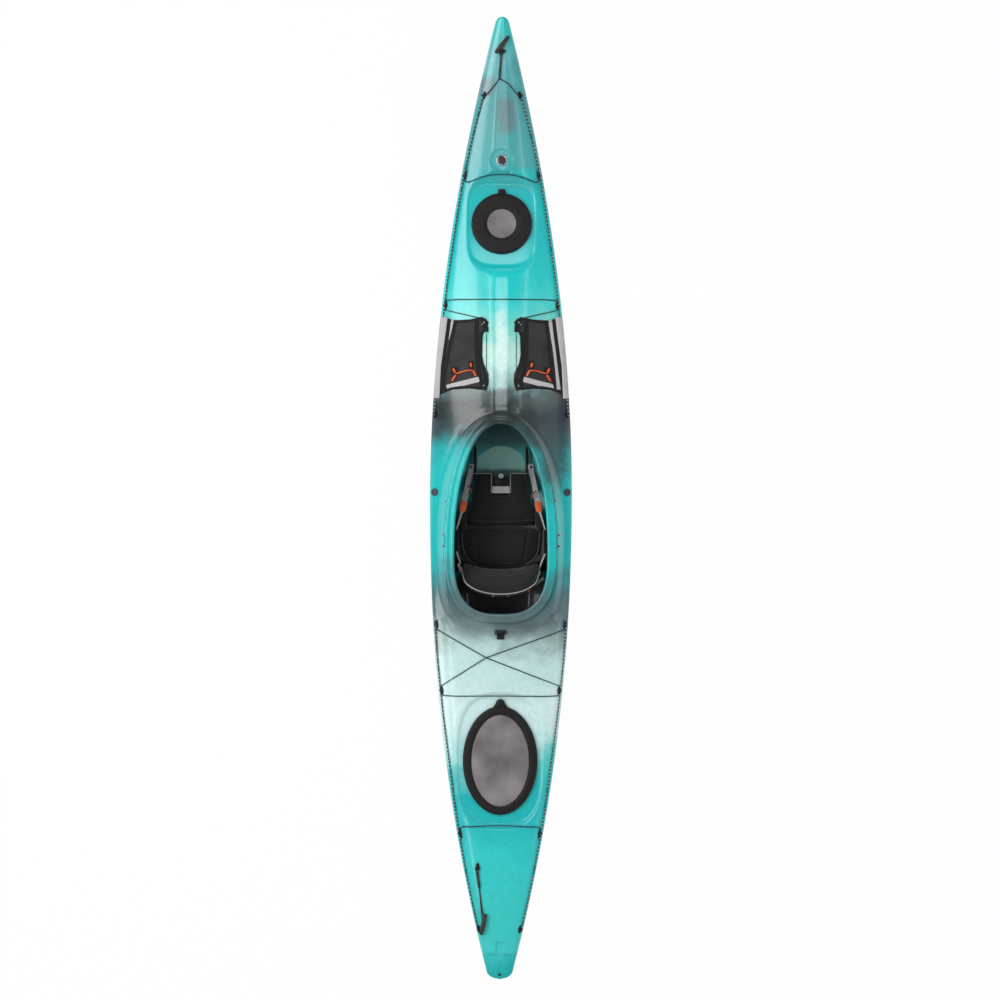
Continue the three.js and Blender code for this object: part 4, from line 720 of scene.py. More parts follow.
HULL_BANDS = tuple(ColourBand(*row) for row in (
    (2205, "#2cc0bc"), (2130, "#30bfbe"), (2030, "#5cb4b8"), (1800, "#4ba0a4"), (1600, "#4aa8aa"),
    (1490, "#2eaaac"), (1400, "#06bcbe"), (1180, "#00bec2"), (1010, "#12cccb"), (900, "#3fd4d0"), (780, "#7cd6cc"),
    (640, "#8fd0c4"), (540, "#86aeab"), (480, "#34383a"), (395, "#262c2e"), (320, "#344b4f"), (230, "#1fa1a4"),
    (100, "#10bcbc"), (-270, "#0cb8b6"), (-350, "#2f8f92"), (-430, "#4a6c70"), (-560, "#5e7072"), (-640, "#94aaa8"),
    (-720, "#bfe0dd"), (-960, "#d0ecea"), (-1120, "#c2e6e4"), (-1230, "#8fdad9"), (-1340, "#12b8bb"),
    (-1480, "#1cbcc0"), (-1680, "#2ecccb"), (-2060, "#3ccbc7"), (-2200, "#12a8a9"),
))
HULL_BLOTCHES = (
    Blotch((20, 1760), (60, 110), "#6a7c82", 0.75),
    Blotch((-110, 1930), (40, 90), "#6a8088", 0.7),
    Blotch((60, 1985), (50, 70), "#4f979c", 0.6),
    Blotch((110, 1500), (60, 40), "#06bfc0", 0.8),
    Blotch((250, 230), (95, 250), "#37454a", 0.85),
    Blotch((-190, 120), (80, 200), "#1fc0bd", 0.6),
    Blotch((0, -590), (260, 60), "#4a5a5c", 0.5),
    # Painted highlight: a pale band along the ridge ahead of the cockpit.
    Blotch((0, 690), (34, 230), "#d8e8e5", 0.6),
    Blotch((260, -1215), (110, 150), "#22c2bd", 0.85),
    Blotch((-250, -1300), (120, 100), "#16babc", 0.85),
    Blotch((-90, 2010), (30, 90), "#9cc8cc", 0.6),
    Blotch((-70, 1900), (60, 50), "#6f8288", 0.75),
    Blotch((-60, 460), (150, 60), "#1e2426", 0.75),
    Blotch((-190, 492), (120, 42), "#4a5457", 0.85),
    Blotch((190, 468), (110, 62), "#4a5457", 0.85),
    Blotch((0, 478), (60, 40), "#4a5457", 0.8),
    # Painted highlight on both flanks of the ridge, between the deck pockets.
    Blotch((-66, 640), (52, 110), "#cfeee7", 0.6),
    Blotch((66, 640), (52, 110), "#cfeee7", 0.6),
)
# Painted light and shade inside the hull: shade under the decks and the seat, and a pool of light under the opening.
INSIDE_PAINTED_LIGHT_AND_SHADE = (
    # Painted shade under the foredeck, ahead of the lit patch.
    Blotch((0, 330), (210, 90), "#2c6668", 0.8, 0.5),
    # A painted pool of light on the floor under the cockpit's front.
    Blotch((0, 165), (118, 96), "#94cdc4", 0.9, 0.1),
    # A painted shadow of the seat, in a band across the floor.
    Blotch((0, 110), (230, 44), "#1f5a5c", 0.9, 0.5),
    # A painted shadow of the seat, wider and darker.
    Blotch((0, -120), (330, 150), "#06282a", 0.9, 0.6),
    # Painted deep shade behind the seat.
    Blotch((0, -500), (330, 210), "#040505", 0.97, 0.3),
)


class Paints:
    """Every finish of the boat, made once."""

    def __init__(self) -> None:
        """Builds the materials."""
        # Rotomoulded polyethylene: marbled, smooth, softly glossy, with painted highlights along the ridge ahead of
        # the cockpit.
        self.shell = MarbledPolyethylene("rotomoulded_polyethylene_marbled", HULL_BANDS, HULL_BLOTCHES, 4420.0).make()
        # The shell's inside has the same powders but no polish, with painted shade and a painted pool of light over
        # them.
        inner = MarbledPolyethylene("rotomoulded_polyethylene_inside", HULL_BANDS, INSIDE_PAINTED_LIGHT_AND_SHADE, 4420.0, 0.5)
        self.inside = inner.make()
        # Thermoplastic rubber of the hatch covers: matt, brownish black.
        self.cover = Moulded("moulded_rubber_hatch_cover", "#0b0708", "#141011", 0.55, 1.5, 0.05, 9.0).make()
        self.cover_dark = Moulded("moulded_rubber_hatch_groove", "#080707", "#0d0b0c", 0.6).make()
        self.panel = Moulded("moulded_rubber_hatch_panel", "#625c5e", "#868183", 0.5, 1.6, 0.08, 7.0).make()
        # Glass-filled nylon fittings: satin black.
        self.fitting = Moulded("moulded_nylon_fitting", "#0b0c0d", "#131415", 0.42).make()
        self.plug = Moulded("moulded_nylon_plug", "#252d38", "#3c4757", 0.42).make()
        # The seat's tracks are moulded from the shell's own powder, and dull.
        self.track = Moulded("moulded_polyethylene_track", "#1d6466", "#2a7c7d", 0.5).make()
        self.rubber = Moulded("moulded_rubber_grip", "#232122", "#353233", 0.5, 1.6, 0.12).make()
        # Zinc-plated and stainless fasteners.
        self.steel = Moulded("brushed_stainless_steel", "#b9bcbf", "#8f9396", 0.35, 0.8, 0.01, 30.0, 1.0).make()
        self.chrome = Moulded("polished_chrome_badge", "#c6c9cc", "#9fa3a7", 0.22, 1.0, 0.01, 40.0, 1.0).make()
        self.badge = Moulded("moulded_badge_centre", "#3a3032", "#4a3f41", 0.35).make()
        # Braided polyester deck line with a light tracer, and plain braided elastic.
        self.line = FleckedCord("braided_polyester_line_flecked", "#26343a", "#a9b4b6", 17.0, 0.35).make()
        self.elastic = FleckedCord("braided_elastic_cord", "#1f3238", "#2f464b", 9.0, 0.5).make()
        self.orange = Moulded("braided_elastic_orange", "#e8501a", "#f0702c", 0.6, 1.0, 0.2).make()
        self.knob = Moulded("moulded_acetal_orange", "#e5531b", "#ee6a2c", 0.4).make()
        # Coated mesh of the deck pockets and its webbing.
        self.mesh = MeshCloth("coated_polyester_mesh", "#242224", "#0d0c0d").make()
        self.webbing = Woven("woven_nylon_webbing_black", "#0b0a0b", "#131113", 2.4, 0.25).make()
        self.pale_webbing = Woven("woven_polyester_webbing_grey", "#a8a5a9", "#bdbabd", 2.4, 0.25).make()
        self.pocket_panel = Woven("woven_polyester_panel_grey", "#aaa6ab", "#c2bfc3", 2.8, 0.2).make()
        # Seat covers: woven nylon over foam, and a smoother grained vinyl for the panels.
        self.cloth = Woven("woven_nylon_seat_cover", "#0a090a", "#131112", 2.6, 0.3, 0.75, 0.2).make()
        self.cloth_panel = Woven("knitted_spacer_seat_panel", "#0e0c0e", "#181517", 3.4, 0.5, 0.8, 0.15).make()
        self.piping = Woven("woven_piping_light_grey", "#8e9092", "#b0b1b3", 1.8, 0.2).make()
        # The seat cushion's piping: the light grey piping darkened by painted shade.
        self.dim_piping = Woven("woven_piping_grey", "#4a4b4d", "#626365", 1.8, 0.2).make()
        self.pink = Woven("woven_pull_cord_red", "#b8323a", "#d6474d", 1.6, 0.2).make()
        self.foam = Moulded("closed_cell_foam", "#3c3e42", "#4a4c50", 0.9, 2.5, 0.4).make()
        self.anodised = Moulded("anodised_aluminium_black", "#1a1b1d", "#242628", 0.38, 0.6, 0.01, 20.0, 0.9).make()
        self.seat_plastic = Moulded("moulded_polyethylene_seat", "#0c0c0d", "#141415", 0.5, 1.4, 0.08).make()
        self.grey_plate = Moulded("moulded_grey_plate", "#9d9da0", "#aeaeb1", 0.5, 1.2, 0.05).make()


# The hull


@dataclass(frozen=True)
class Oval:
    """A Lame outline about a point on the middle line, with its own reach and power ahead and behind."""

    along: float
    half_width: float
    fore: float
    aft: float
    fore_power: float = 2.0
    aft_power: float = 2.0

    def ring(self, offset: float | Array, count: int) -> tuple[Array, Array]:
        """Points at equal turns, pushed out by offset along the normal: x = a sin^(2/p), y = b cos^(2/p).

        Args:
            offset: How far outside the outline.
            count: How many points.

        Returns:
            The points' x and y.
        """
        turn = (np.arange(count) + 0.5) / count * 2 * math.pi
        sine, cosine = np.sin(turn), np.cos(turn)
        power = np.where(cosine > 0, self.fore_power, self.aft_power)
        reach = np.where(cosine > 0, self.fore, self.aft)
        x = np.sign(sine) * self.half_width * np.abs(sine) ** (2 / power)
        y = np.sign(cosine) * reach * np.abs(cosine) ** (2 / power)
        nx = np.sign(x) * (np.abs(x) / self.half_width) ** (power - 1) / self.half_width
        ny = np.sign(y) * (np.abs(y) / reach) ** (power - 1) / reach
        size = np.hypot(nx, ny)
        return x + nx / size * offset, self.along + y + ny / size * offset

    def distance(self, x: Array, y: Array) -> tuple[Array, Array, Array]:
        """How far outside the outline points lie, and its outward direction: (k - 1) / |grad k| for the gauge k.

        Args:
            x: Places across the boat.
            y: Places along the boat.

        Returns:
            Distances, and the direction's x and y.
        """
        dy = y - self.along
        power = np.where(dy > 0, self.fore_power, self.aft_power)
        reach = np.where(dy > 0, self.fore, self.aft)
        u, v = np.abs(x) / self.half_width, np.abs(dy) / reach
        k = np.maximum((u**power + v**power) ** (1 / power), 1e-6)
        gx = np.sign(x) * (u / k) ** (power - 1) / self.half_width
        gy = np.sign(dy) * (v / k) ** (power - 1) / reach
        size = np.maximum(np.hypot(gx, gy), 1e-9)
        return (k - 1) / size, gx / size, gy / size


@dataclass(frozen=True)
class HullForm:
    """The hull's lines: plan, keel, sheer, deck crown, cockpit island, rim and recesses.

    Pairs that end in s give the value ahead and behind. Reaches run behind and ahead of their place.

    Attributes:
        length: Over all, as packed.
        beam: Greatest width.
        wall: Thickness of the moulding.
        widest: Where the beam is greatest.
        sheer: Height of the sheer amidships.
        shoulder: Rise of the deck's rounded edge.
        fore_crown: Crown of the deck at the cockpit's front.
        aft_crown: Crown of the deck at the cockpit's back.
        end_crown: Crown at both tips.
        ridge: Half width of the flat along the deck's middle.
        bow_trim: How far the bow stops short of the solid's.
        tips: Half widths of the tips before they are rounded.
        tapers: Powers of the plan's taper.
        tip_rounds: How far back from the tips their rounding begins.
        tip_powers: How square the rounding is.
        keel_flat: Share of half the length over which the keel is flat.
        keel_rises: Rise of the keel to each tip.
        keel_power: How late the keel rises.
        sheer_rises: Rise of the sheer to each tip.
        rim_heights: Height of the rim over the deck behind and ahead.
        badge_dish: Where the dish round the badge ends and where the deck is whole again.
    """

    length: float = 4420.0
    beam: float = 658.0
    wall: float = 6.0
    widest: float = 26.52
    sheer: float = 250.0
    shoulder: float = 16.0
    fore_crown: float = 110.0
    aft_crown: float = 22.0
    end_crown: float = 12.0
    ridge: float = 32.0
    cockpit: Oval = Oval(-238.68, 214.0, 588.0, 284.0, 2.15, 2.8)
    island: Oval = Oval(-238.68, 262.0, 636.0, 354.0, 2.15, 4.0)
    bow_recess: Oval = Oval(1272.96, 153.0, 189.0, 189.0, 4.0, 4.0)
    stern_recess: Oval = Oval(-1202.24, 191.0, 293.0, 293.0, 3.0, 3.0)
    bow_hole: Oval = Oval(1272.96, 117.0, 117.0, 117.0)
    stern_hole: Oval = Oval(-1202.24, 150.0, 228.0, 228.0)
    bow_trim: float = 6.0
    tips: Point = (25.0, 52.0)
    tapers: Point = (1.92, 2.13)
    tip_rounds: Point = (33.0, 30.0)
    tip_powers: Point = (3.5, 2.0)
    keel_flat: float = 0.35
    keel_rises: Point = (325.0, 195.0)
    keel_power: float = 4.5
    sheer_rises: Point = (135.0, 25.0)
    rim_width: float = 41.0
    rim_stand: float = 24.0
    rim_heights: Point = (38.0, 28.0)
    island_slope: float = 5.0 / 3.0
    recess_slope: float = 0.85
    notch_half: float = 40.0
    notch_reach: Point = (30.0, 44.0)
    notch_depth: float = 9.0
    badge_along: float = 1560.0
    badge_dish: Point = (42.0, 58.0)
    badge_depth: float = 4.5
    slot_along: float = -2068.0
    slot_half: Point = (14.0, 28.0)
    slot_depth: float = 7.0
    step_length: float = 112.0
    step_depth: float = 15.0

    @property
    def half(self) -> float:
        """Half the length."""
        return self.length / 2

    @property
    def cockpit_front(self) -> float:
        """The opening's front end."""
        return self.cockpit.along + self.cockpit.fore

    @property
    def cockpit_back(self) -> float:
        """The opening's back end."""
        return self.cockpit.along - self.cockpit.aft

    def half_beam(self, y: Array) -> Array:
        """Half the beam: the widest less a power of the distance, times root_p(1 - out^p) at each tip.

        Args:
            y: Places along the boat.

        Returns:
            Half widths.
        """
        y = np.asarray(y, float)
        ahead = y > self.widest
        run = np.where(
            ahead, (y - self.widest) / (self.half - self.widest), (self.widest - y) / (self.half + self.widest)
        )
        tip, power, reach, square = (
            np.where(ahead, *pair) for pair in (self.tips, self.tapers, self.tip_rounds, self.tip_powers)
        )
        left = np.clip((self.half - self.bow_trim * ahead - np.abs(y)) / reach, 0.004, 1.0)
        taper = self.beam / 2 - (self.beam / 2 - tip) * np.clip(run, 0, 1) ** power
        return taper * (1 - (1 - left) ** square) ** (1 / square)

    def keel_z(self, y: Array) -> Array:
        """Keel height: flat amidships, a power curve up each stem."""
        run = np.maximum(0.0, (np.abs(y) / self.half - self.keel_flat) / (1.0 - self.keel_flat))
        return np.where(y > 0, *self.keel_rises) * run**self.keel_power

    def sheer_z(self, y: Array) -> Array:
        """Height of the edge between side and deck: a cubic rise to each tip."""
        return self.sheer + np.where(y > 0, *self.sheer_rises) * (np.abs(y) / self.half) ** 3

    def crown(self, y: Array) -> Array:
        """Height of the deck's middle over its shoulder: falls by a power ahead and evenly behind, and blends between.

        Args:
            y: Places along the boat.

        Returns:
            Heights.
        """
        front, back, low = self.cockpit_front, self.cockpit_back, self.end_crown
        fore = low + (self.fore_crown - low) * (1 - np.clip((y - front) / (self.half - front), 0, 1) ** 0.8)
        aft = low + (self.aft_crown - low) * (y + self.half) / (back + self.half)
        middle = lerp(self.aft_crown, self.fore_crown, smoothstep(y, back, front))
        return np.where(y >= front, fore, np.where(y <= back, aft, middle))

    def plain_deck(self, x: Array, y: Array) -> Array:
        """Deck height with no recess or island: sheer + shoulder * root(1 - out^8) + crown * (1 - out^p).

        Args:
            x: Places across the boat.
            y: Places along the boat.

        Returns:
            Heights.
        """
        beam = self.half_beam(y)
        ridge = np.minimum(self.ridge, 0.2 * beam)
        out = np.clip(np.maximum(np.abs(x), ridge) / beam, 0, 1)
        power = lerp(2.5, 1.45, smoothstep(y, self.cockpit_back, self.cockpit_front))
        return self.sheer_z(y) + self.shoulder * np.sqrt(1 - out**8) + self.crown(y) * (1 - out**power)

    def rim_z(self, y: Array) -> Array:
        """Height of the rim's top, from low behind to high in front by a power of the run.

        Args:
            y: Places along the boat.

        Returns:
            Heights.
        """
        front, back = self.cockpit_front + self.rim_width, self.cockpit_back - self.rim_width
        run = np.clip((y - back) / (front - back), 0, 1)
        low, high = (self.middle_z(place) + height for place, height in zip((back, front), self.rim_heights))
        return lerp(low, high, run**1.3)

    def middle_z(self, y: float) -> float:
        """Height of the plain deck on the middle line."""
        return float(self.plain_deck(np.zeros(1), np.array([y]))[0])

    def floor_z(self, recess: Oval, depth: float) -> float:
        """Floor of a hatch recess: a little under the deck at its side."""
        return float(self.plain_deck(np.array([recess.half_width]), np.array([recess.along]))[0]) - depth

    @property
    def bow_floor(self) -> float:
        """Floor of the bow hatch's recess."""
        return self.floor_z(self.bow_recess, 5.0)

    @property
    def stern_floor(self) -> float:
        """Floor of the stern hatch's recess."""
        return self.floor_z(self.stern_recess, 9.0)

    def deck(self, x: Array, y: Array) -> Array:
        """Deck height with all that is moulded into it, each step joined by a small fillet.

        The island is the greater of the deck and a slope that falls from under the rim. The recesses, the notch by
        the bow hatch and the slot at the stern are the lesser of the deck and walls that rise round a floor. The
        dish round the badge and the stern step are taken off what is left.

        Args:
            x: Places across the boat, in millimetres.
            y: Places along the boat, in millimetres.

        Returns:
            Heights in millimetres.
        """
        z = self.plain_deck(x, y)
        away, _, _ = self.island.distance(x, y)
        rise = self.rim_z(y) - self.rim_stand - self.island_slope * np.maximum(away, 0.0)
        near = smoothstep(-away, -60.0, -30.0)
        z = lerp(z, smooth_max(z, rise, 4.0) - 2.0 * (1 - near), near)
        for recess, floor in ((self.bow_recess, self.bow_floor), (self.stern_recess, self.stern_floor)):
            away, _, _ = recess.distance(x, y)
            wall = floor + self.recess_slope * np.maximum(away, 0.0)
            z = np.where(away < 60.0, smooth_min(z, wall, 3.0), z)
        notch_y = self.bow_recess.along + self.bow_recess.fore
        notch_z = self.middle_z(notch_y) - self.notch_depth
        behind, ahead = self.notch_reach
        outside = np.maximum(np.abs(x) - self.notch_half, np.maximum(notch_y - behind - y, y - notch_y - ahead))
        z = np.where(outside < 14.0, smooth_min(z, notch_z + 1.6 * np.maximum(outside, 0.0), 2.0), z)
        z = z - self.badge_depth * (1 - smoothstep(np.hypot(x, y - self.badge_along), *self.badge_dish))
        slot_z = self.middle_z(self.slot_along - 2.0) - self.slot_depth
        across, along = self.slot_half
        outside = np.maximum(np.abs(x) - across, np.abs(y - self.slot_along) - along)
        z = np.where(outside < 10.0, smooth_min(z, slot_z + 1.5 * np.maximum(outside, 0.0), 1.5), z)
        step_y = self.step_length - self.half
        step_z = self.middle_z(step_y) - self.step_depth
        return np.where(y < step_y + 12.0, np.minimum(z, step_z + 2.0 * np.maximum(y - step_y, 0.0)), z)

    def section_side(self, y: Array, inset: float, bottom: int) -> tuple[Array, Array]:
        """Half of each section from the keel to the sheer: a Lame quarter past a flat keel strip.

        Args:
            y: Places along the boat.
            inset: How far inside the skin.
            bottom: Points from keel to sheer.

        Returns:
            Places across and heights, a row for each station.
        """
        share = np.abs(y) / self.half
        power = 2 / lerp(2.6, 1.25, share**1.5)
        keel = lerp(46.0, 5.0, share**2)
        keel = np.minimum(keel, 0.6 * self.half_beam(y))
        depth = self.sheer_z(y) - self.keel_z(y) - inset
        turn = np.linspace(0, 1, bottom)[None, :] ** 0.85 * math.pi / 2
        wide = (self.half_beam(y) - inset - keel)[:, None]
        x = keel[:, None] + wide * np.sin(turn) ** power[:, None]
        z = self.sheer_z(y)[:, None] - depth[:, None] * np.clip(np.cos(turn), 0, 1) ** power[:, None]
        return x, z


@dataclass
class Hull:
    """The moulded shell: outside skin, inside skin and cockpit rim."""

    paints: Paints
    form: HullForm
    fine_step: float = 5.5
    coarse_step: float = 15.0
    bottom_steps: int = 22
    deck_steps: int = 50
    inner_steps: tuple[int, int] = (18, 26)
    end_wall: float = 75.0
    outer_openings: tuple[float, ...] = (5.0, 0.0, 0.0)
    inner_openings: tuple[float, ...] = (9.0, 2.0, 2.0)

    def stations(self) -> Array:
        """Places along the hull, closer together by the hatches, the cockpit and the tips.

        Returns:
            The places.
        """
        f = self.form
        front = f.half - f.bow_trim
        spans = (
            (-f.half, -f.half + 185, self.fine_step),
            (-1530, -870, self.fine_step),
            (-660, 480, 7),
            (1060, 1640, self.fine_step),
            (front - 45, front - 8, 3.5),
            (front - 8, front, 1.0),
        )
        y = [-f.half]
        while y[-1] < front - 1e-6:
            step = min([s for low, high, s in spans if low - s <= y[-1] < high] or [self.coarse_step])
            y.append(min(y[-1] + step, front))
        return np.array(y)

    def skin(self, y: Array, inset: float, bottom: int, deck: int, with_cuts: bool) -> Array:
        """Rings of the hull's skin: keel centre, bottom and side, shoulder, deck to its middle, and back down.

        Args:
            y: Places along the boat.
            inset: How far inside the skin.
            bottom: Points from keel to sheer.
            deck: Points across half the deck.
            with_cuts: Whether the recesses are cut.

        Returns:
            The rings.
        """
        f = self.form
        sx, sz = f.section_side(y, inset, bottom)
        edge = np.array([0.9988, 0.995, 0.987, 0.974, 0.955])
        shares = np.concatenate([edge, np.linspace(0.93, 0.0, deck)])
        beam = f.half_beam(y)[:, None]
        dx = shares[None, :] * beam
        yy = np.broadcast_to(y[:, None], dx.shape)
        dz = f.deck(dx, yy) if with_cuts else f.plain_deck(dx, yy)
        dz = np.maximum(dz - inset, f.sheer_z(y)[:, None] + 0.3)
        keel = np.zeros((len(y), 1))
        x = np.hstack([keel, sx, dx * (1 - inset / f.half_beam(y)[:, None].clip(20))])
        z = np.hstack([sz[:, :1], sz, dz])
        half = np.stack([x, np.broadcast_to(y[:, None], x.shape), z], axis=-1)
        other = half[:, 1:-1][:, ::-1] * np.array([-1.0, 1.0, 1.0])
        return np.concatenate([half, other], axis=1)

    def open_at(self, points: Array, faces: Array, deck: Array, offsets: Sequence[float], on_deck: bool) -> Array:
        """Opens the holes in a skin: drops the faces inside, and draws the border's points onto the outline.

        Args:
            points: Rows of x, y, z, moved in place.
            faces: Corner numbers of the skin's cells.
            deck: Which points are on the deck.
            offsets: How far past its outline the cockpit, the bow hole and the stern hole are opened.
            on_deck: Whether the border's points are laid on the deck again.

        Returns:
            The faces that stay.
        """
        f = self.form
        keep = np.ones(len(faces), bool)
        for oval, offset in zip((f.cockpit, f.bow_hole, f.stern_hole), offsets):
            away, nx, ny = oval.distance(points[:, 0], points[:, 1])
            pull = (away < offset) & deck
            keep &= ~pull[faces].all(axis=1)
            if on_deck:
                used = np.zeros(len(points), bool)
                used[faces[keep].ravel()] = True
                pull &= used
            shift = (offset - away)[pull]
            points[pull, 0] += nx[pull] * shift
            points[pull, 1] += ny[pull] * shift
            if on_deck:
                points[pull, 2] = f.deck(points[pull, 0], points[pull, 1])
        return faces[keep]

    def build(self) -> None:
        """Makes the outside, the inside and the rim, which stand for the moulded hull."""
        for piece in (self.outside(), self.inside(), self.rim()):
            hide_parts("hull")

    def outside(self) -> Piece:
        """The outer skin, capped at both tips and open at the cockpit and the hatches.

        Returns:
            The skin.
        """
        y = self.stations()
        rings = self.skin(y, 0.0, self.bottom_steps, self.deck_steps, True)
        columns = rings.shape[1]
        points = rings.reshape(-1, 3).copy()
        deck = self.deck_points(len(y), columns, self.bottom_steps)
        faces = self.open_at(points, quads_of(len(y), columns), deck, self.outer_openings, True)
        ends = [list(range(columns)), list(range((len(y) - 1) * columns, len(y) * columns))[::-1]]
        return mesh_piece("hull_shell_outside", points, faces[:, ::-1].tolist() + ends, self.paints.shell, smooth=50)

    def inside(self) -> Piece:
        """The inner skin, kept at least a wall's thickness under the deck, and opened a little wider.

        Returns:
            The skin.
        """
        f = self.form
        y = np.linspace(-f.half + self.end_wall, f.half - self.end_wall, 240)
        bottom, top = self.inner_steps
        rings = self.skin(y, f.wall, bottom, top, False)
        columns = rings.shape[1]
        points = rings.reshape(-1, 3).copy()
        deck = self.deck_points(len(y), columns, bottom)
        lower = f.deck(points[:, 0], points[:, 1]) - f.wall
        points[deck, 2] = np.minimum(points[deck, 2], lower[deck])
        faces = self.open_at(points, quads_of(len(y), columns), deck, self.inner_openings, False)
        ends = [list(range(columns))[::-1], list(range((len(y) - 1) * columns, len(y) * columns))]
        return mesh_piece("hull_shell_inside", points, faces.tolist() + ends, self.paints.inside, smooth=60)

    def deck_points(self, rows: int, columns: int, bottom: int) -> Array:
        """Which points of a skin are on the deck: all but the first and last bottom columns of each ring.

        Args:
            rows: Rings.
            columns: Points to a row.
            bottom: Points from keel to sheer.

        Returns:
            True for each point on the deck.
        """
        column = np.zeros(columns, bool)
        column[bottom + 1 : columns - bottom] = True
        return np.tile(column, rows)

    def rim(self) -> Piece:
        """The cockpit rim: a rounded section carried round the opening, its height falling from front to back.

        Returns:
            The rim.
        """
        f = self.form
        section = rounded([
            (0, -42), (0, -14), (0.6, -5), (5, -0.6), (11, 0), (16, -2.2), (19, -4.6), (28, -4.6),
            (36, -4.4), (40.5, -6), (41, -9.5), (38, -12), (22, -12), (11.5, -12.5), (10, -20), (10, -42),
        ], 1)
        count = 220
        _, base_y = f.cockpit.ring(0.0, count)
        rings = []
        for offset, drop in section:
            x, y = f.cockpit.ring(offset, count)
            rings.append(np.stack([x, y, f.rim_z(base_y) + drop], axis=-1))
        rings = np.array(rings).transpose(1, 0, 2)
        return solid_piece("cockpit_rim", rings, self.paints.shell, close_rows=True, smooth=60)


# Pieces kept from the solids

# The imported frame, which main loads.
FRAME: dict = {}
WELD_METRES = 2e-5
BEVEL_ANGLE = 35


def dressed_copy(
    node: str, material: Material, name: str | None = None, angle: float = 35.0, bevel: float = 0.0
) -> Piece:
    """A merged, smooth-shaded copy of a solid, in its place, with an optional bevel in millimetres.

    Args:
        node: The solid's name.
        material: Its finish.
        name: The copy's name, if not the solid's own.
        angle: The widest smooth-shaded angle, in degrees.
        bevel: Width of the bevel.

    Returns:
        The copy.
    """
    source = FRAME["nodes"][node]
    piece = placed(name or node + "_dressed", source.data.copy())
    bpy.context.view_layer.objects.active = piece
    weld = piece.modifiers.new("weld", "WELD")
    weld.merge_threshold = WELD_METRES
    if bevel:
        round_off = piece.modifiers.new("bevel", "BEVEL")
        round_off.width = bevel * MM
        round_off.segments = 2
        round_off.limit_method = "ANGLE"
        round_off.angle_limit = math.radians(BEVEL_ANGLE)
    graph = bpy.context.evaluated_depsgraph_get()
    made = bpy.data.meshes.new_from_object(piece.evaluated_get(graph))
    piece.modifiers.clear()
    piece.data = made
    made.materials.clear()
    made.materials.append(material)
    made.polygons.foreach_set("use_smooth", np.ones(len(made.polygons), bool))
    made.set_sharp_from_angle(angle=math.radians(angle))
    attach(piece, source["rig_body"])
    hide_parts(node)
    return piece


@dataclass
class Hatch:
    """A soft moulded hatch cover: its ring, its centre panel and the collar it snaps onto.

    Attributes:
        paints: The finishes.
        label: bow or stern.
        outline: The cover's edge.
        floor: Height of the recess's floor.
        panel_inset: How far in the centre panel begins.
        tab: Half width at the foot, half width at the tip and length of the finger tab ahead of it.
        count: Points round it.
        vent_back: How far the vent lies behind its front edge.
    """

    paints: Paints
    label: str
    outline: Oval
    floor: float
    panel_inset: float
    tab: tuple[float, float, float]
    count: int = 144
    vent_back: float = 30.0

    def ring(self, pairs: Array) -> Array:
        """Rings of (offset, height) pairs round the outline.

        Args:
            pairs: Offsets and heights.

        Returns:
            The rings.
        """
        rows = []
        for offset, height in pairs:
            x, y = self.outline.ring(offset, self.count)
            rows.append(np.stack([x, y, np.full(self.count, self.floor + height)], axis=-1))
        return np.array(rows)

    def build(self) -> None:
        """Makes the collar, the cover, the groove and the panel."""
        body = self.label + "_hatch"
        dressed_copy(self.label + "_hatch_rim", self.paints.fitting, angle=30)
        inset = self.panel_inset
        profile = rounded([
            (-29, 10.8), (-10, 10.8), (-10, 1.3), (-1.2, 1.3), (0, 4), (0, 12), (-2, 16.5), (-7, 20),
            (-0.35 * inset, 20.6), (-0.6 * inset, 21.0), (-0.82 * inset, 20.6), (-inset + 1.2, 18.6),
            (-inset + 0.6, 16.0), (-inset + 0.6, 13.9),
        ], 2, False)
        cover = solid_piece(self.label + "_hatch_cover_ring", self.ring(profile), self.paints.cover, body, smooth=50)
        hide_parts(self.label + "_hatch_cover")
        steps = ((0.4, 14.2), (0.4, 17), (2.5, 18.2), (8, 19), (24, 19.8), (44, 20.4))
        panel = rounded([(-inset - reach, height) for reach, height in steps], 2, False)
        centre = solid_piece(self.label + "_hatch_centre_panel", self.ring(panel), self.paints.panel, body, smooth=50)
        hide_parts(self.label + "_hatch_panel")
        self.groove(body)
        self.finger_tab(body)

    def groove(self, body: str) -> None:
        """The dark joint round the centre panel and the bead near the cover's edge.

        Args:
            body: The body that carries it.
        """
        inset = self.panel_inset
        for name, offset, radius, height in (("joint", -inset + 2.2, 2.2, 18.4), ("bead", -9.0, 1.5, 19.6)):
            turn = np.linspace(0, 2 * math.pi, 8, endpoint=False)
            pairs = np.stack([offset + radius * np.cos(turn), height + radius * np.sin(turn)], axis=-1)
            rings = self.ring(pairs).transpose(1, 0, 2)
            piece = solid_piece(
                f"{self.label}_hatch_{name}", rings, self.paints.cover_dark, body, close_rows=True, smooth=60
            )

    def finger_tab(self, body: str) -> None:
        """The finger tab: a rounded trapezium of even thickness, and the small round vent beside it.

        Args:
            body: The body that carries it.
        """
        foot, tip, long = self.tab
        y0 = self.outline.along + self.outline.fore - 6.0
        waist = lerp(foot, tip, 0.65)
        right = [(foot, y0 - 8), (foot, y0), (waist, y0 + 0.45 * long), (tip, y0 + long)]
        plan = rounded(right + [(-x, y) for x, y in right[::-1]], 2)
        levels = [(share, self.floor + z) for share, z in ((0.9, 7.8), (1, 9), (1, 12.5), (0.93, 13.4))]
        piece = solid_piece(self.label + "_hatch_tab", plates(plan, levels), self.paints.cover, body, smooth=40)
        vent_y = self.outline.along + self.outline.fore - self.vent_back
        dot = circles(0.0, vent_y, self.floor, ((4, 20), (4, 21.4), (2.8, 21.9)), 16)
        solid_piece(self.label + "_hatch_vent", dot, self.paints.cover_dark, body)


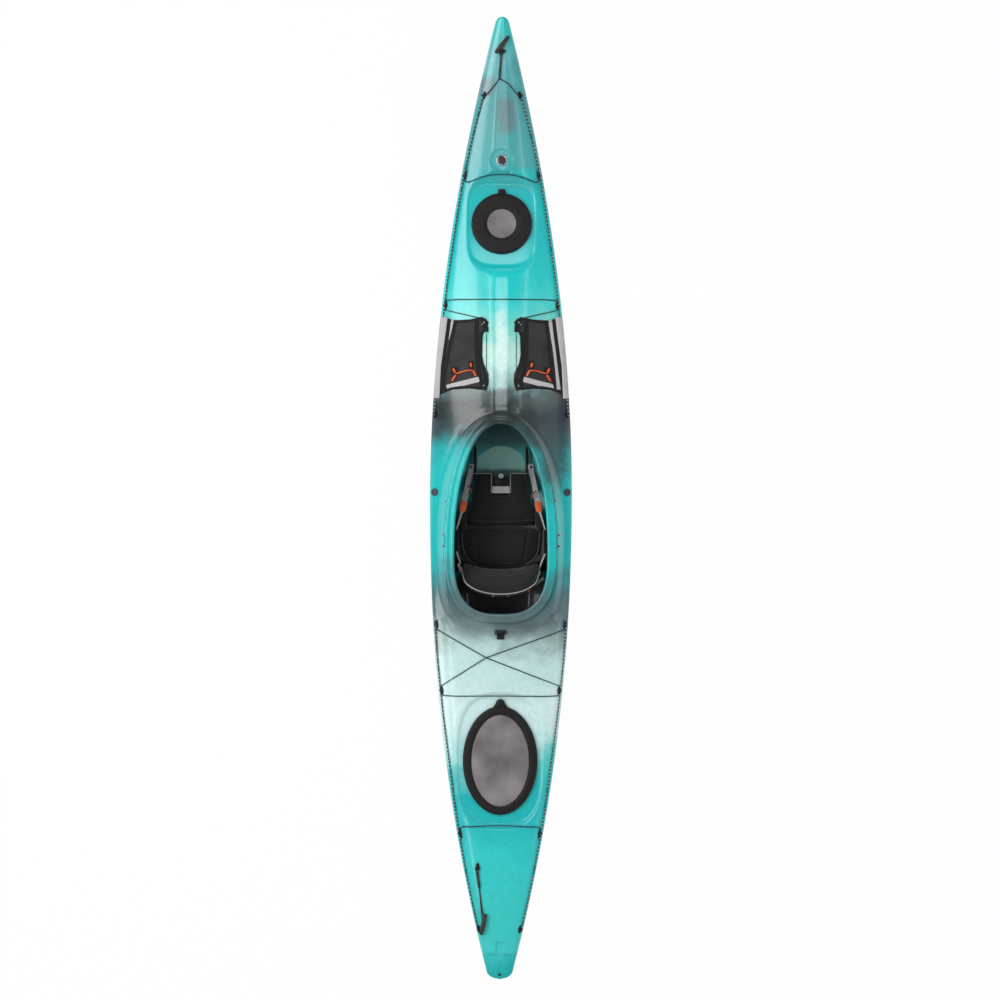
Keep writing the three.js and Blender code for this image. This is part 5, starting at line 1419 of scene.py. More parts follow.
def drape(form: HullForm, centre: Array, half_width: Array | float, lift: float, thick: float) -> Array:
    """Rings of a flat strip lying on the deck along a line in plan, its top lift above the deck and thick deep.

    Args:
        form: The hull's lines.
        centre: Rows of x, y of the strip's middle.
        half_width: Half its width, one for all or one for each row.
        lift: Height of its top above the deck.
        thick: Its thickness.

    Returns:
        Closed rings, each the top from one edge to the other and the underside back.
    """
    ahead = np.gradient(centre, axis=0)
    ahead /= np.linalg.norm(ahead, axis=1)[:, None]
    side = np.stack([ahead[:, 1], -ahead[:, 0]], axis=-1)
    share = np.linspace(-1, 1, 7)
    half = np.broadcast_to(np.asarray(half_width, float), (len(centre),))[:, None, None]
    flat = centre[:, None, :] + side[:, None, :] * share[None, :, None] * half
    z = form.deck(flat[..., 0], flat[..., 1])
    round_off = 0.35 * thick * np.abs(share[None, :]) ** 6
    top = np.concatenate([flat, (z + lift - round_off)[..., None]], axis=-1)
    under = np.concatenate([flat, (z + lift - thick + 0.2)[..., None]], axis=-1)[:, ::-1]
    return np.concatenate([top, under], axis=1)


@dataclass(frozen=True)
class BandLayout:
    """Where one pocket's webbing and light strip run: places out from the middle and along, in millimetres."""

    outer: tuple[Point, ...]
    middle: tuple[Point, ...]
    light: tuple[Point, ...]


POCKET_BANDS = {
    Side.LEFT: BandLayout(
        ((241, 838), (256, 735), (270, 622), (281, 490)),
        ((210, 830), (220, 786), (233, 735), (248, 660), (261, 594), (270, 506)),
        ((225.5, 834), (231, 801), (242, 741)),
    ),
    Side.RIGHT: BandLayout(
        ((242, 838), (252, 762), (266, 660), (287, 490)),
        ((204.5, 830), (217.5, 742), (228, 656), (249, 512)),
        ((224.5, 832), (234, 760), (245, 688), (266, 512)),
    ),
}
# The hem's back and front ends, and its inner edge between them.
HEM_ENDS = (472, 846)
HEM_INNER = ((472, 620, 735, 846), (286, 279, 263, 248.5))
# Each hook: its webbing tab's middle and half width, its post and its leg.
POCKET_HOOKS = (
    (
        ((215, 596), 17.0),
        ((222, 609), (217, 598), (212, 586)),
        ((208.5, 578), (219, 563), (228, 549)),
    ),
    (
        ((139.5, 622), 12.0),
        ((141.5, 632), (139.5, 622), (137.5, 612)),
        ((130.5, 598), (123, 584), (116, 571)),
    ),
)


@dataclass
class DeckPocket:
    """A mesh pocket on the foredeck, with webbing edges, grey panels, hooks and an orange elastic.

    Its outline is given in shares: across from the ridge side to the gunwale, and along from back to front.

    Attributes:
        paints: The finishes.
        form: The hull's lines.
        side: The side of the boat.
        front: Place of the mesh's front along the boat.
        back: Place of its back.
        outer_share: Its outer edge, as a share of the half beam.
        inner_shares: Its inner edge, as shares of the outer one, at row_shares of its length.
        row_shares: Shares of the length that belong to inner_shares.
        column_shares: Shares of the width that belong to the skews.
        front_skew: How far its front edge lies ahead, as shares of the length.
        back_skew: The same for its back edge.
        tab_reach: How far a hook's webbing tab reaches ahead of and behind its middle.
    """

    paints: Paints
    form: HullForm
    side: Side
    front: float = 836.0
    back: float = 506.0
    outer_share: float = 0.992
    tab_reach: float = 19.0
    inner_shares: tuple[float, ...] = (0.3, 0.19, 0.19, 0.27, 0.305, 0.31, 0.26, 0.2, 0.31)
    row_shares: tuple[float, ...] = (0.0, 0.1, 0.22, 0.37, 0.53, 0.7, 0.82, 0.93, 1.0)
    column_shares: tuple[float, ...] = (0.0, 0.2, 0.45, 0.68, 0.86, 1.0)
    front_skew: tuple[float, ...] = (0.02, 0.0, -0.03, -0.02, 0.005, 0.035)
    back_skew: tuple[float, ...] = (0.0, 0.02, 0.03, 0.005, -0.045, -0.115)

    def place(self, column: Array, row: Array) -> Array:
        """Plan places: y = back to front by the row and a skew by the column, x = inner to outer edge by the column.

        Args:
            column: Shares across.
            row: Shares along.

        Returns:
            Rows of x, y.
        """
        skew = lerp(
            np.interp(column, self.column_shares, self.back_skew),
            np.interp(column, self.column_shares, self.front_skew), row
        )
        long = self.front - self.back
        y = lerp(self.back, self.front, row) + skew * long
        outer = self.outer_share * self.form.half_beam(y)
        inner = np.interp(row, self.row_shares, self.inner_shares)
        return np.stack([self.side.value * outer * lerp(inner, 1.0, column), y], axis=-1)

    def line(self, ends: Sequence[Point]) -> Array:
        """A plan line of 40 points through (across share, along share) places."""
        shares = resampled(ends, 40)
        return self.place(shares[:, 0], shares[:, 1])

    def panel(self) -> None:
        """The mesh itself: a grid of shares laid on the deck, with a soft swell and slack wrinkles."""
        rows, columns = 56, 40
        rr, cc = np.meshgrid(np.linspace(0, 1, rows), np.linspace(0, 1, columns), indexing="ij")
        flat = self.place(cc, rr)
        z = self.form.deck(flat[..., 0], flat[..., 1])
        edge = np.clip(np.minimum(np.minimum(cc, 1 - cc), np.minimum(rr, 1 - rr)) * 8, 0, 1)
        swell = 1.0 * edge + 0.6 * edge * np.sin(9 * cc + 3 * rr) * np.sin(7 * rr + 2 * cc)
        top = np.concatenate([flat, (z + 1.8 + swell)[..., None]], axis=-1)
        under = np.concatenate([flat, (z + 0.5)[..., None]], axis=-1)
        rings = np.concatenate([top, under[:, ::-1]], axis=1)
        piece = solid_piece(f"deck_pocket_mesh_{self.side.label}", rings, self.paints.mesh, smooth=70)
        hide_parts(f"mesh_pocket_{self.side.label}")

    def run(self, places: Sequence[Point], count: int = 40) -> Array:
        """A smooth plan line through (out from the middle, along) places in millimetres, on this pocket's side."""
        return resampled(self.side.mirror(catmull(places, 8)), count)

    def strip(
        self, name: str, line: Array, half: float | Array, lift: float, material: Material, deep: float = 1.6
    ) -> None:
        """A strip of webbing laid along a plan line."""
        piece = solid_piece(
            f"deck_pocket_{name}_{self.side.label}", drape(self.form, line, half, lift, deep), material, smooth=60
        )

    def build(self) -> None:
        """Makes the mesh, its panels and borders, its hooks and its cords."""
        self.panel()
        share = np.linspace(0.0, 1.0, 40)
        y = lerp(HEM_ENDS[1], HEM_ENDS[0], share)
        edge, inner = self.form.half_beam(y) - 0.6, np.interp(y, *HEM_INNER)
        hem = np.column_stack([self.side.value * (edge + inner) / 2, y])
        self.strip("outer_panel", hem, (edge - inner) / 2, 13.0, self.paints.pocket_panel, 12.0)
        # The light strip tapers to a point on the left and widens to both ends on the right.
        widths = {Side.LEFT: lerp(7.0, 1.2, share), Side.RIGHT: 6.4 + 2.6 * (2 * share - 1) ** 2}
        bands = POCKET_BANDS[self.side]
        self.strip("outer_band", self.run(bands.outer), 6.8, 5.2, self.paints.webbing)
        self.strip("light_panel", self.run(bands.light), widths[self.side], 4.9, self.paints.pocket_panel)
        self.strip("middle_band", self.run(bands.middle), 7.0, 5.2, self.paints.webbing)
        for name, places, half, lift, material in (
            ("inner_band", ((114, 826), (113, 690), (109, 622), (96, 560), (86, 516)), 10.5, 4.8, self.paints.webbing),
            ("inner_edge", ((92, 775), (94, 690), (93, 640), (84, 600), (70, 560)), 6.5, 4.4, self.paints.webbing),
        ):
            self.strip(name, self.run(places), half, lift, material)
        for name, shares, lift in (
            ("front_band", ((0.02, 0.985), (0.3, 0.985), (0.65, 0.985), (0.96, 0.985)), 4.8),
            ("back_band", ((0.02, 0.018), (0.3, 0.018), (0.65, 0.02), (0.86, 0.015), (1.0, 0.01)), 5.6),
        ):
            self.strip(name, self.line(shares), 5.0, lift, self.paints.webbing)
        mouth = ((251, 520), (217, 529), (160, 542), (102, 556))
        self.strip("mouth_panel", self.run(mouth), 12.0, 5.0, self.paints.pocket_panel)
        for name, places in (
            ("front_corner", ((72, 772), (74, 800), (84, 832))),
            ("back_corner", ((82, 506), (72, 535), (70, 560))),
        ):
            self.strip(name, self.run(places, 12), 13.0, 5.2, self.paints.webbing)
        self.bead("draw_cord", self.run(((68, 770), (68.5, 670), (68, 568))), 1.5, 1.6, self.paints.elastic)
        self.hooks()
        self.screws()

    def hooks(self) -> None:
        """The orange elastic: two short posts on webbing tabs and a cord between them, with legs to the mouth."""
        for k, (((x, y), half), post, leg) in enumerate(POCKET_HOOKS):
            tab = self.run(((x, y - self.tab_reach), (x, y), (x, y + self.tab_reach)), 8)
            self.strip(f"tab_{k}", tab, half, 5.0, self.paints.webbing)
            self.bead(f"post_{k}", self.run(post, 12), 4.9, 8.0, self.paints.orange)
            self.bead(f"leg_{k}", self.run(leg, 16), 4.2, 7.5, self.paints.orange)
        cord = self.run(((210, 583), (165, 595), (130.5, 598.5)), 24)
        self.bead("elastic", cord, 2.8, 7.5, self.paints.orange)

    def bead(self, name: str, line: Array, radius: float, lift: float, material: Material) -> None:
        """A round cord of one radius over the deck along a plan line, with rounded ends.

        Args:
            name: The piece's name.
            line: Rows of x, y.
            radius: Its radius, in millimetres.
            lift: Height over the deck.
            material: Its finish.
        """
        z = self.form.deck(line[:, 0], line[:, 1]) + lift
        path = np.column_stack([line, z])
        share = np.linspace(-1, 1, len(line))
        radii = radius * np.sqrt(np.clip(1.02 - np.abs(share) ** 10, 0.05, 1))
        rings = swept(path, round_section(radii, 10))
        solid_piece(f"deck_pocket_{name}_{self.side.label}", rings, material, smooth=60)

    def screws(self) -> None:
        """The bright screws at the pocket's two inner corners."""
        s = self.side.value
        for k, (x, y, r) in enumerate(((79.5, 817.0, 5.0), (88.0, 808.0, 3.8), (79.5, 526.0, 4.8))):
            dome(f"deck_pocket_screw_{k}_{self.side.label}", self.form, s * x, y, r, 6.4, self.paints.steel)


def dome(name: str, form: HullForm, x: float, y: float, radius: float, lift: float, material: Material) -> None:
    """A low domed screw head standing on the deck: circles that shrink as they rise, r * cos and h * sin of a turn.

    Args:
        name: The piece's name.
        form: The hull's lines.
        x: Its place across.
        y: Its place along.
        radius: Its radius, in millimetres.
        lift: Height over the deck.
        material: Its finish.
    """
    profile = ((-1.2, 1), (0, 1), (0.35, 0.93), (0.7, 0.7), (0.95, 0.3))
    z = float(form.deck(np.array([x]), np.array([y]))[0]) + lift - 1.5
    rings = circles(x, y, z, [(radius * share, 0.45 * radius * rise) for rise, share in profile], 16)
    solid_piece(name, rings, material, smooth=60)


@dataclass
class DeckGear:
    """What is fixed on deck: eyes, lines, elastics, plugs, the lock bar, the badge and the rim's screws."""

    paints: Paints
    form: HullForm
    eyes: tuple[str, ...] = (
        "bow", "fore_deck", "hatch", "cockpit_front", "cockpit_back", "day_deck", "aft_deck", "stern"
    )

    def build(self) -> None:
        """Makes each piece of deck gear."""
        for side in Side:
            for eye in self.eyes:
                dressed_copy(f"pad_eye_{eye}_{side.label}", self.paints.fitting, bevel=0.8)
            for run in ("fore", "aft"):
                dressed_copy(f"grab_line_{run}_{side.label}", self.paints.line, angle=60)
            dressed_copy(f"side_plug_{side.label}", self.paints.plug, angle=30, bevel=0.6)
            self.rim_screws(side)
        dressed_copy("pad_eye_stern_handle", self.paints.fitting, bevel=0.8)
        for cord in ("fore", "hatch", "rear", "aft"):
            dressed_copy("bungee_" + cord, self.paints.elastic, angle=60)
        self.lock()
        self.badge()
        dome("rudder_pin_bush", self.form, 0.0, -2190.0, 6.5, 2.2, self.paints.fitting)

    def rim_screws(self, side: Side) -> None:
        """The pairs of bright bolts beside the seat and the single small ones ahead of them.

        Args:
            side: The side of the boat.
        """
        s = side.value
        washer = 9.0 if side is Side.RIGHT else 6.5
        small = (251.0, -1.0) if side is Side.RIGHT else (256.0, -5.0)
        for k, (x, y, r) in enumerate(((266.0, -159.5, washer), (266.0, -210.5, washer), (*small, washer - 1.0))):
            dome(f"deck_washer_{k}_{side.label}", self.form, s * x, y, r, 4.2, self.paints.pocket_panel)
            dome(f"deck_bolt_{k}_{side.label}", self.form, s * x, y, 0.5 * r, 8.2, self.paints.fitting)

    def lock(self) -> None:
        """The lock bar behind the cockpit, with its two bolts."""
        dressed_copy("lock_bar", self.paints.fitting, bevel=1.2)
        for k, x in enumerate((-31.0, 31.0)):
            dome(f"lock_bolt_{k}", self.form, x, -617.0, 5.0, 2.5, self.paints.steel)

    def badge(self) -> None:
        """A plain round badge on the foredeck: a bright ring round a bare dark disc."""
        ring = ((25, 0.4), (25, 2.6), (23.8, 3.6), (21, 3.9), (19.5, 3.4), (19, 2.8))
        disc = ((18.7, 0.6), (18.7, 3), (17.8, 3.5), (8, 3.7))
        for name, steps, material in (
            ("foredeck_badge_ring", ring, self.paints.chrome), ("foredeck_badge_disc", disc, self.paints.badge)
        ):
            rings = circles(0.0, self.form.badge_along, 0.0, steps, 48)
            deck = self.form.deck(rings[..., 0], rings[..., 1])
            rings[..., 2] = deck + rings[..., 2]
            solid_piece(name, rings, material, smooth=40)


@dataclass
class CarryHandle:
    """A carry handle: the cord as modelled, and a ribbed rubber grip over its toggle."""

    paints: Paints
    label: str
    body: str
    form: HullForm
    knots: tuple[tuple[float, float, float, float], ...] = ()

    def build(self) -> None:
        """Dresses the handle, with the knots that hold the grip on the cord."""
        piece = dressed_copy(self.label + "_handle", self.paints.rubber, angle=50)
        for k, (x, y, half, turn) in enumerate(self.knots):
            z = float(self.form.deck(np.array([x]), np.array([y]))[0]) + 9.0
            line = np.array([x, y, z]) + np.linspace(-half, half, 14)[:, None] * np.array(
                [math.cos(turn), math.sin(turn), 0.0]
            )
            radii = 8.0 * np.sqrt(np.clip(1.0 - np.linspace(-0.97, 0.97, 14) ** 2, 0.02, 1))
            knot = solid_piece(
                f"{self.label}_handle_knot_{k}", swept(line, round_section(radii, 12)), self.paints.fitting, self.body,
                smooth=60
            )


@dataclass
class FootBraces:
    """The two rails with their pedals and levers."""

    paints: Paints

    def build(self) -> None:
        """Dresses the rails, pedals and levers."""
        for side in Side:
            dressed_copy(f"foot_rail_{side.label}", self.paints.anodised, bevel=0.6)
            dressed_copy(f"foot_pedal_{side.label}", self.paints.seat_plastic, bevel=1.0)
            dressed_copy(f"pedal_lever_{side.label}", self.paints.grey_plate, bevel=0.6)


@dataclass
class Bulkheads:
    """The two foam bulkheads."""

    paints: Paints

    def build(self) -> None:
        """Dresses the bulkheads."""
        for end in ("bow", "stern"):
            dressed_copy(end + "_bulkhead", self.paints.foam, angle=20)


# The seat


@dataclass(frozen=True)
class PadSpec:
    """How one pad is stuffed: cap on its swelling, cell in millimetres, and how often it is eased."""

    cap: float
    voxel: float
    passes: int = 2


# A stout woven cover, and how long it takes to settle.
COVER_CLOTH = {
    "use_pressure": True, "uniform_pressure_force": 4.0, "tension_stiffness": 40, "compression_stiffness": 40,
    "shear_stiffness": 20, "bending_stiffness": 2, "mass": 0.3, "quality": 5,
}
CLOTH_FRAMES = 20


def simulate_padding(piece: Piece, spec: PadSpec) -> None:
    """Swells a pad: voxel remesh, cloth with pressure and no gravity, and a cap on each point's move.

    Args:
        piece: The pad, a closed mesh.
        spec: Its cap, cell and easing.
    """
    bpy.context.view_layer.objects.active = piece
    remesh = piece.modifiers.new("remesh", "REMESH")
    remesh.mode = "VOXEL"
    remesh.voxel_size = spec.voxel * MM
    soften = piece.modifiers.new("soften", "SMOOTH")
    soften.factor, soften.iterations = 0.5, spec.passes
    bake_modifiers(piece)
    before = points_of(piece.data)
    cloth = piece.modifiers.new("cloth", "CLOTH")
    for setting, value in COVER_CLOTH.items():
        setattr(cloth.settings, setting, value)
    cloth.settings.effector_weights.gravity = 0
    cloth.point_cache.frame_start, cloth.point_cache.frame_end = 1, CLOTH_FRAMES
    for frame in range(1, CLOTH_FRAMES + 1):
        bpy.context.scene.frame_set(frame)
    bake_modifiers(piece)
    bpy.context.scene.frame_set(1)
    after = points_of(piece.data)
    if len(after) == len(before):
        move = after - before
        size = np.linalg.norm(move, axis=1)
        keep = np.minimum(1.0, spec.cap * MM / np.maximum(size, 1e-9))
        piece.data.vertices.foreach_set("co", (before + move * keep[:, None]).ravel())
    piece.data.polygons.foreach_set("use_smooth", np.ones(len(piece.data.polygons), bool))
    piece.data.update()


def bake_modifiers(piece: Piece) -> None:
    """Applies every modifier of a piece to its mesh.

    Args:
        piece: The piece.
    """
    bpy.context.view_layer.update()
    graph = bpy.context.evaluated_depsgraph_get()
    made = bpy.data.meshes.new_from_object(piece.evaluated_get(graph))
    piece.modifiers.clear()
    old = piece.data
    piece.data = made
    bpy.data.meshes.remove(old)


def subdivided(piece: Piece) -> None:
    """Adds one live subdivision of equal view and render levels."""
    smooth = piece.modifiers.new("subdivision", "SUBSURF")
    smooth.levels = smooth.render_levels = 1


def half_outline(right: Sequence[Point], half_width: float, back: float, front: float, along: float) -> Array:
    """A smooth closed outline from the shares of its right half: across of the half width, along of the length.

    Args:
        right: Shares of the right half.
        half_width: Half the width.
        back: The back end from along.
        front: The front end from along.
        along: The outline's own zero.

    Returns:
        Rows of x, y.
    """
    points = np.array([(x * half_width, along + lerp(back, front, y)) for x, y in right])
    ring = np.vstack([points, (points * np.array([-1.0, 1.0]))[::-1]])
    closed = catmull(np.vstack([ring[-1:], ring, ring[:2]]), 6)[6:-6]
    return resampled(np.vstack([closed, closed[:1]]), 121)[:-1]


def inset_ring(ring: Array, inset: float) -> Array:
    """A closed outline drawn in along its own normals.

    Args:
        ring: Rows of x, y.
        inset: How far.

    Returns:
        Rows of x, y.
    """
    ahead = np.roll(ring, -1, axis=0) - np.roll(ring, 1, axis=0)
    ahead /= np.linalg.norm(ahead, axis=1)[:, None]
    normal = np.stack([ahead[:, 1], -ahead[:, 0]], axis=-1)
    area = np.sum(ring[:, 0] * np.roll(ring[:, 1], -1) - np.roll(ring[:, 0], -1) * ring[:, 1])
    return ring - normal * inset * (1.0 if area > 0 else -1.0)


# Rows of places across, along and up: of a side strap, along from the seat's middle, and of a red pull.
STRAP_ROUTE = (
    (139, 484, 36.2), (144, 450, 40), (159, 380, 62), (169, 327, 84),
    (177, 280, 98), (189, 240, 106), (204, 190, 112), (211, 172, 113),
)
PULL_ROUTE = ((158, 72, 82), (150, 62, 98), (145, 55, 105), (141, 46, 107), (138, 36, 107))
STRAP_STEPS = 70


@dataclass
class Seat:
    """The seat: pan, tracks, cushions, leg lift, back, hangers and straps.

    Attributes:
        paints: The finishes.
        along: The seat's own zero along the boat.
        pan_top: Height of the pan under the cushions.
        lean: How far the back leans behind upright, in degrees.
        pivot: Place along and height of the back's hinge.
        piping: Radius of the cushions' piping.
        seam_floor: Height over which seams are pressed.
        slot_out: Middle of a track's dark slot, out from the middle line.
        slot_half: Half its width.
        slot_ends: Its back and front ends.
        leg_reach: How far the leg cushion's front is drawn out.
        back_half: Half width of the back's frame.
        back_bow: How far the frame bows behind its arms.
        pad_shares: The seat cushion's right outline, as shares of its half width and length.
    """

    paints: Paints
    along: float = -311.61
    pan_top: float = 60.0
    lean: float = 29.0
    pivot: Point = (-282.61, 118.0)
    piping: float = 1.7
    seam_floor: float = 90.0
    slot_out: float = 122.5
    slot_half: float = 4.5
    slot_ends: Point = (-325.0, 252.0)
    leg_reach: float = 9.0
    back_half: float = 198.0
    back_bow: float = 58.0
    pad_shares: tuple[Point, ...] = (
        (0.3, 1.0), (0.6, 0.985), (0.88, 0.95), (1.0, 0.82), (1.0, 0.6), (0.95, 0.38), (0.84, 0.19), (0.66, 0.05),
        (0.35, 0.0),
    )

    def build(self) -> None:
        """Makes every piece of the seat."""
        self.plastics()
        self.seat_cushion()
        self.leg_cushion()
        self.wings()
        self.back()
        self.straps()

    def plastics(self) -> None:
        """Dresses the pan, tracks, plates, frame and hangers."""
        for node in ("seat_pan", "leg_lift_plate", "seat_back_frame", "seat_hanger_left", "seat_hanger_right"):
            dressed_copy(node, self.paints.seat_plastic, bevel=1.0)
        across = np.array([-self.slot_half, self.slot_half, self.slot_half, -self.slot_half])
        back, front = self.slot_ends
        for side in Side:
            dressed_copy(f"seat_track_{side.label}", self.paints.track, bevel=1.0)
            bar = [
                np.column_stack(
                    [side.value * (self.slot_out + r * across), np.repeat([back + i, front - i], 2), np.full(4, z)]
                )
                for r, i, z in ((1, 0, 33.4), (1, 0, 34.6), (0.85, 0.5, 35))
            ]
            solid_piece(f"seat_track_slot_{side.label}", np.array(bar), self.paints.seat_plastic)
        dressed_copy("leg_lift_adjuster", self.paints.fitting, bevel=1.0)
        plan = rounded([(-12.5, 104), (12.5, 104), (12.5, 127), (-12.5, 127)], 2)
        knob = plates(plan, ((0.8, 60.4), (0.8, 78), (1, 80), (1, 94), (0.9, 96), (0.4, 96.4)))
        solid_piece("leg_lift_knob_cap", knob, self.paints.grey_plate, "leg_lift")

    def pad(self, name: str, ring: Array, spec: PadSpec, material: Material, slim: float = 1.0) -> Piece:
        """A cushion on the pan: rings drawn in at the foot and crowned on top, then swollen by cloth.

        Args:
            name: The piece's name.
            ring: Its outline in plan.
            spec: How it is stuffed.
            material: Its cover.
            slim: Share of the drawing in, less than 1 for a narrow pad.

        Returns:
            The cushion.
        """
        base = self.pan_top + 0.9
        middle = ring.mean(axis=0)
        # Each ring: how far it is drawn in, its height, and its share about the middle.
        levels = (
            (7, 0, 1), (2.5, 3, 1), (1.5, 15, 1), (3, 26, 1), (8, 33, 1),
            (16, 36.5, 0.97), (16, 39, 0.86), (16, 41, 0.6), (16, 41.5, 0.3),
        )
        rings = []
        for inset, height, share in levels:
            flat = middle + (inset_ring(ring, inset * slim) - middle) * share
            rings.append(np.column_stack([flat, np.full(len(flat), base + height)]))
        piece = solid_piece(name, np.array(rings), material, smooth=180)
        simulate_padding(piece, spec)
        return piece

    def carve(self, piece: Piece, grooves: Sequence[tuple[Array, float, float]]) -> None:
        """Presses seams into a pad's top: z falls by depth * exp(-(d / width)^2) at distance d from a plan line.

        Args:
            piece: The pad.
            grooves: Lines in plan with their depth and width, in millimetres.
        """
        co = points_of(piece.data) / MM
        top = co[:, 2] > self.seam_floor
        for line, depth, width in grooves:
            line = resampled(line, 80)
            gap = np.full(len(co), 1e9)
            gap[top] = np.linalg.norm(co[top, None, :2] - line[None, :, :], axis=-1).min(axis=1)
            co[:, 2] -= depth * np.exp(-((gap / width) ** 2))
        put_points(piece.data, co * MM)

    def cord_on(self, name: str, line: Array, piece: Piece, material: Material, body: str) -> None:
        """A cord of piping laid on a pad along a plan line: its height is that of the pad's highest point near it.

        Args:
            name: The cord's name.
            line: Rows of x, y.
            piece: The pad.
            material: The cord's finish.
            body: The body that carries it.
        """
        co = points_of(piece.data) / MM
        line = resampled(line, 60)
        near = np.linalg.norm(co[None, :, :2] - line[:, None, :], axis=-1)
        z = np.where(near < 9.0, co[None, :, 2], -1e9).max(axis=1)
        good = z > 0
        z = np.interp(np.arange(len(line)), np.flatnonzero(good), z[good])
        z = np.convolve(np.pad(z, 4, mode="edge"), np.ones(9) / 9, mode="valid")
        path = np.column_stack([line, z + self.piping * 0.4])
        solid_piece(name, swept(path, round_section(self.piping, 8)), material, body, smooth=60)

    def seat_cushion(self) -> None:
        """The rear cushion: a centre panel between two wings, with light piping on the wings, drawn darker as painted
        shade.
        """
        ring = half_outline(self.pad_shares, 188.0, 10.0, 189.0, self.along)
        pad = self.pad("seat_cushion", ring, PadSpec(6.0, 5.5), self.paints.cloth_panel)
        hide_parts("seat_pad")
        back, front = self.along + 24.0, self.along + 190.0
        seams = []
        for s in (-1, 1):
            line = [[s * 106.0, back + 6], [s * 118.0, (back + front) / 2], [s * 131.0, front - 8]]
            seams.append((np.array(line), 6.0, 4.5))
        line = [[-132.0, front - 26], [-70.0, front - 14], [0.0, front - 10], [70.0, front - 14], [132.0, front - 26]]
        seams.append((catmull(np.array(line), 8), 5.0, 4.5))
        self.carve(pad, seams)
        for side in Side:
            arc = [(184, -152), (181, -200), (172, -242), (150, -280), (116, -303)]
            line = catmull(side.mirror(arc), 10)
            # The wing piping is the light piping drawn darker: painted shade deep in the cockpit.
            self.cord_on(f"seat_piping_{side.label}", line, pad, self.paints.dim_piping, "hull")
        subdivided(pad)

    def wings(self) -> None:
        """The narrow padded wings at the hips, between the cushions and the hull."""
        right = [
            (161, -40), (178, -26), (192, -54), (201, -90), (204, -126), (187, -142), (186, -220),
            (180, -262), (172, -262), (174, -200), (176, -140), (159, -117), (164, -104),
        ]
        for side in Side:
            corners = side.mirror(right)
            ring = resampled(rounded(np.vstack([corners, corners[:1]]), 2), 90)[:-1]
            wing = self.pad(f"seat_wing_{side.label}", ring, PadSpec(3.0, 4.5), self.paints.cloth, 0.35)
            subdivided(wing)

    def leg_cushion(self) -> None:
        """The leg lift's cushion, notched for the adjuster, with piping round its front edge and a plain plate."""
        pad = dressed_copy("leg_lift_pad", self.paints.cloth, "leg_lift_cushion")
        simulate_padding(pad, PadSpec(5.0, 5.5, 4))
        # The front is drawn out by a smooth step along the boat.
        co = points_of(pad.data)
        co[:, 1] += self.leg_reach * MM * smoothstep(co[:, 1] / MM, 60.0, 120.0)
        put_points(pad.data, co)
        front = self.along + 441.0
        line = [[-150.0, -60.0], [-90.0, -84.0], [0.0, -90.0], [90.0, -84.0], [150.0, -60.0]]
        self.carve(pad, [(catmull(np.array(line), 8), 3.5, 6.0)])
        edge = np.array([
            [-130.0, front - 6], [-124.0, front - 2], [-50.0, front - 2],
            [-46.0, front - 6], [-45.0, front - 24], [-45.0, front - 94],
        ])
        for side in Side:
            run = edge * np.array([-side.value, 1.0])
            self.cord_on(f"leg_lift_piping_front_{side.label}", run[:4], pad, self.paints.piping, "leg_lift")
            self.cord_on(f"leg_lift_piping_notch_{side.label}", run[3:], pad, self.paints.piping, "leg_lift")
        subdivided(pad)
        plan = rounded([
            (-42, 42), (-42, 34), (-34, 34), (34, 34), (42, 34), (42, 42),
            (42, 60), (42, 67), (34, 67), (-34, 67), (-42, 67), (-42, 60),
        ], 2)
        rings = plates(plan, ((1, 60.4), (1, 99.5), (0.95, 101), (0.5, 101.6)))
        solid_piece("leg_lift_plate_label", rings, self.paints.grey_plate, "leg_lift")

    def on_back(self, x: Array, y: Array, z: Array) -> Array:
        """A point given by the seat back's own axes: forward out of the back, and up the back, leaned back.

        Args:
            x: Places across.
            y: Places ahead of the back.
            z: Places up the back.

        Returns:
            Rows of x, y, z.
        """
        lean = math.radians(self.lean)
        py, pz = self.pivot
        return np.stack(
            [x, py + y * math.cos(lean) - z * math.sin(lean), pz + y * math.sin(lean) + z * math.cos(lean)], axis=-1
        )

    def back_curve(self, x: Array) -> Array:
        """How far the back's frame bows behind its arms, as a parabola."""
        return -self.back_bow * (1 - (x / self.back_half) ** 2)

    def back(self) -> None:
        """The back pad: stuffed, bowed with its frame, full in the middle, piped round its top edge."""
        share = np.linspace(-1, 1, 49)
        x = share * 180.0
        rounded_off = np.sqrt(np.clip(1 - np.abs(share) ** 4, 0, 1))
        low = -6.0 + 22.0 * (1 - rounded_off)
        high = 244.0 * lerp(0.62, 1.0, rounded_off)
        rear = self.back_curve(x) + 3.9 + 9.0 * (1 - rounded_off)
        thick = lerp(10.0, 25.0, rounded_off)
        turn = np.linspace(0, 2 * math.pi, 40, endpoint=False)
        cu = np.sign(np.cos(turn)) * np.abs(np.cos(turn)) ** 0.45
        su = np.sign(np.sin(turn)) * np.abs(np.sin(turn)) ** 0.8
        swell = (7.0 * rounded_off[:, None] * np.clip(1 - cu**4, 0, 1) - 14.0 * np.clip(-cu, 0, 1)) * (su > 0)
        z = lerp(low[:, None], high[:, None], (cu[None, :] + 1) / 2)
        y = rear[:, None] + thick[:, None] * (su[None, :] + 1) / 2 + swell
        rings = self.on_back(np.broadcast_to(x[:, None], z.shape), y, z)
        pad = solid_piece("seat_back_cushion", rings, self.paints.cloth, "back_pad", smooth=180)
        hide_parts("seat_back_pad")
        simulate_padding(pad, PadSpec(5.0, 5.5))
        subdivided(pad)
        edge = np.column_stack([x, rear + 0.75 * thick, high - 1.0])[2:-2]
        foot = np.array([[-181.0, 15.0, 118.0], [-181.5, 15.0, 132.0]])
        edge = np.vstack([foot, edge, (foot * np.array([-1.0, 1.0, 1.0]))[::-1]])
        edge = self.on_back(*resampled(edge, 90).T)
        piping = solid_piece(
            "seat_back_piping", swept(edge, round_section(2.5, 8)), self.paints.piping, "back_pad", smooth=60
        )
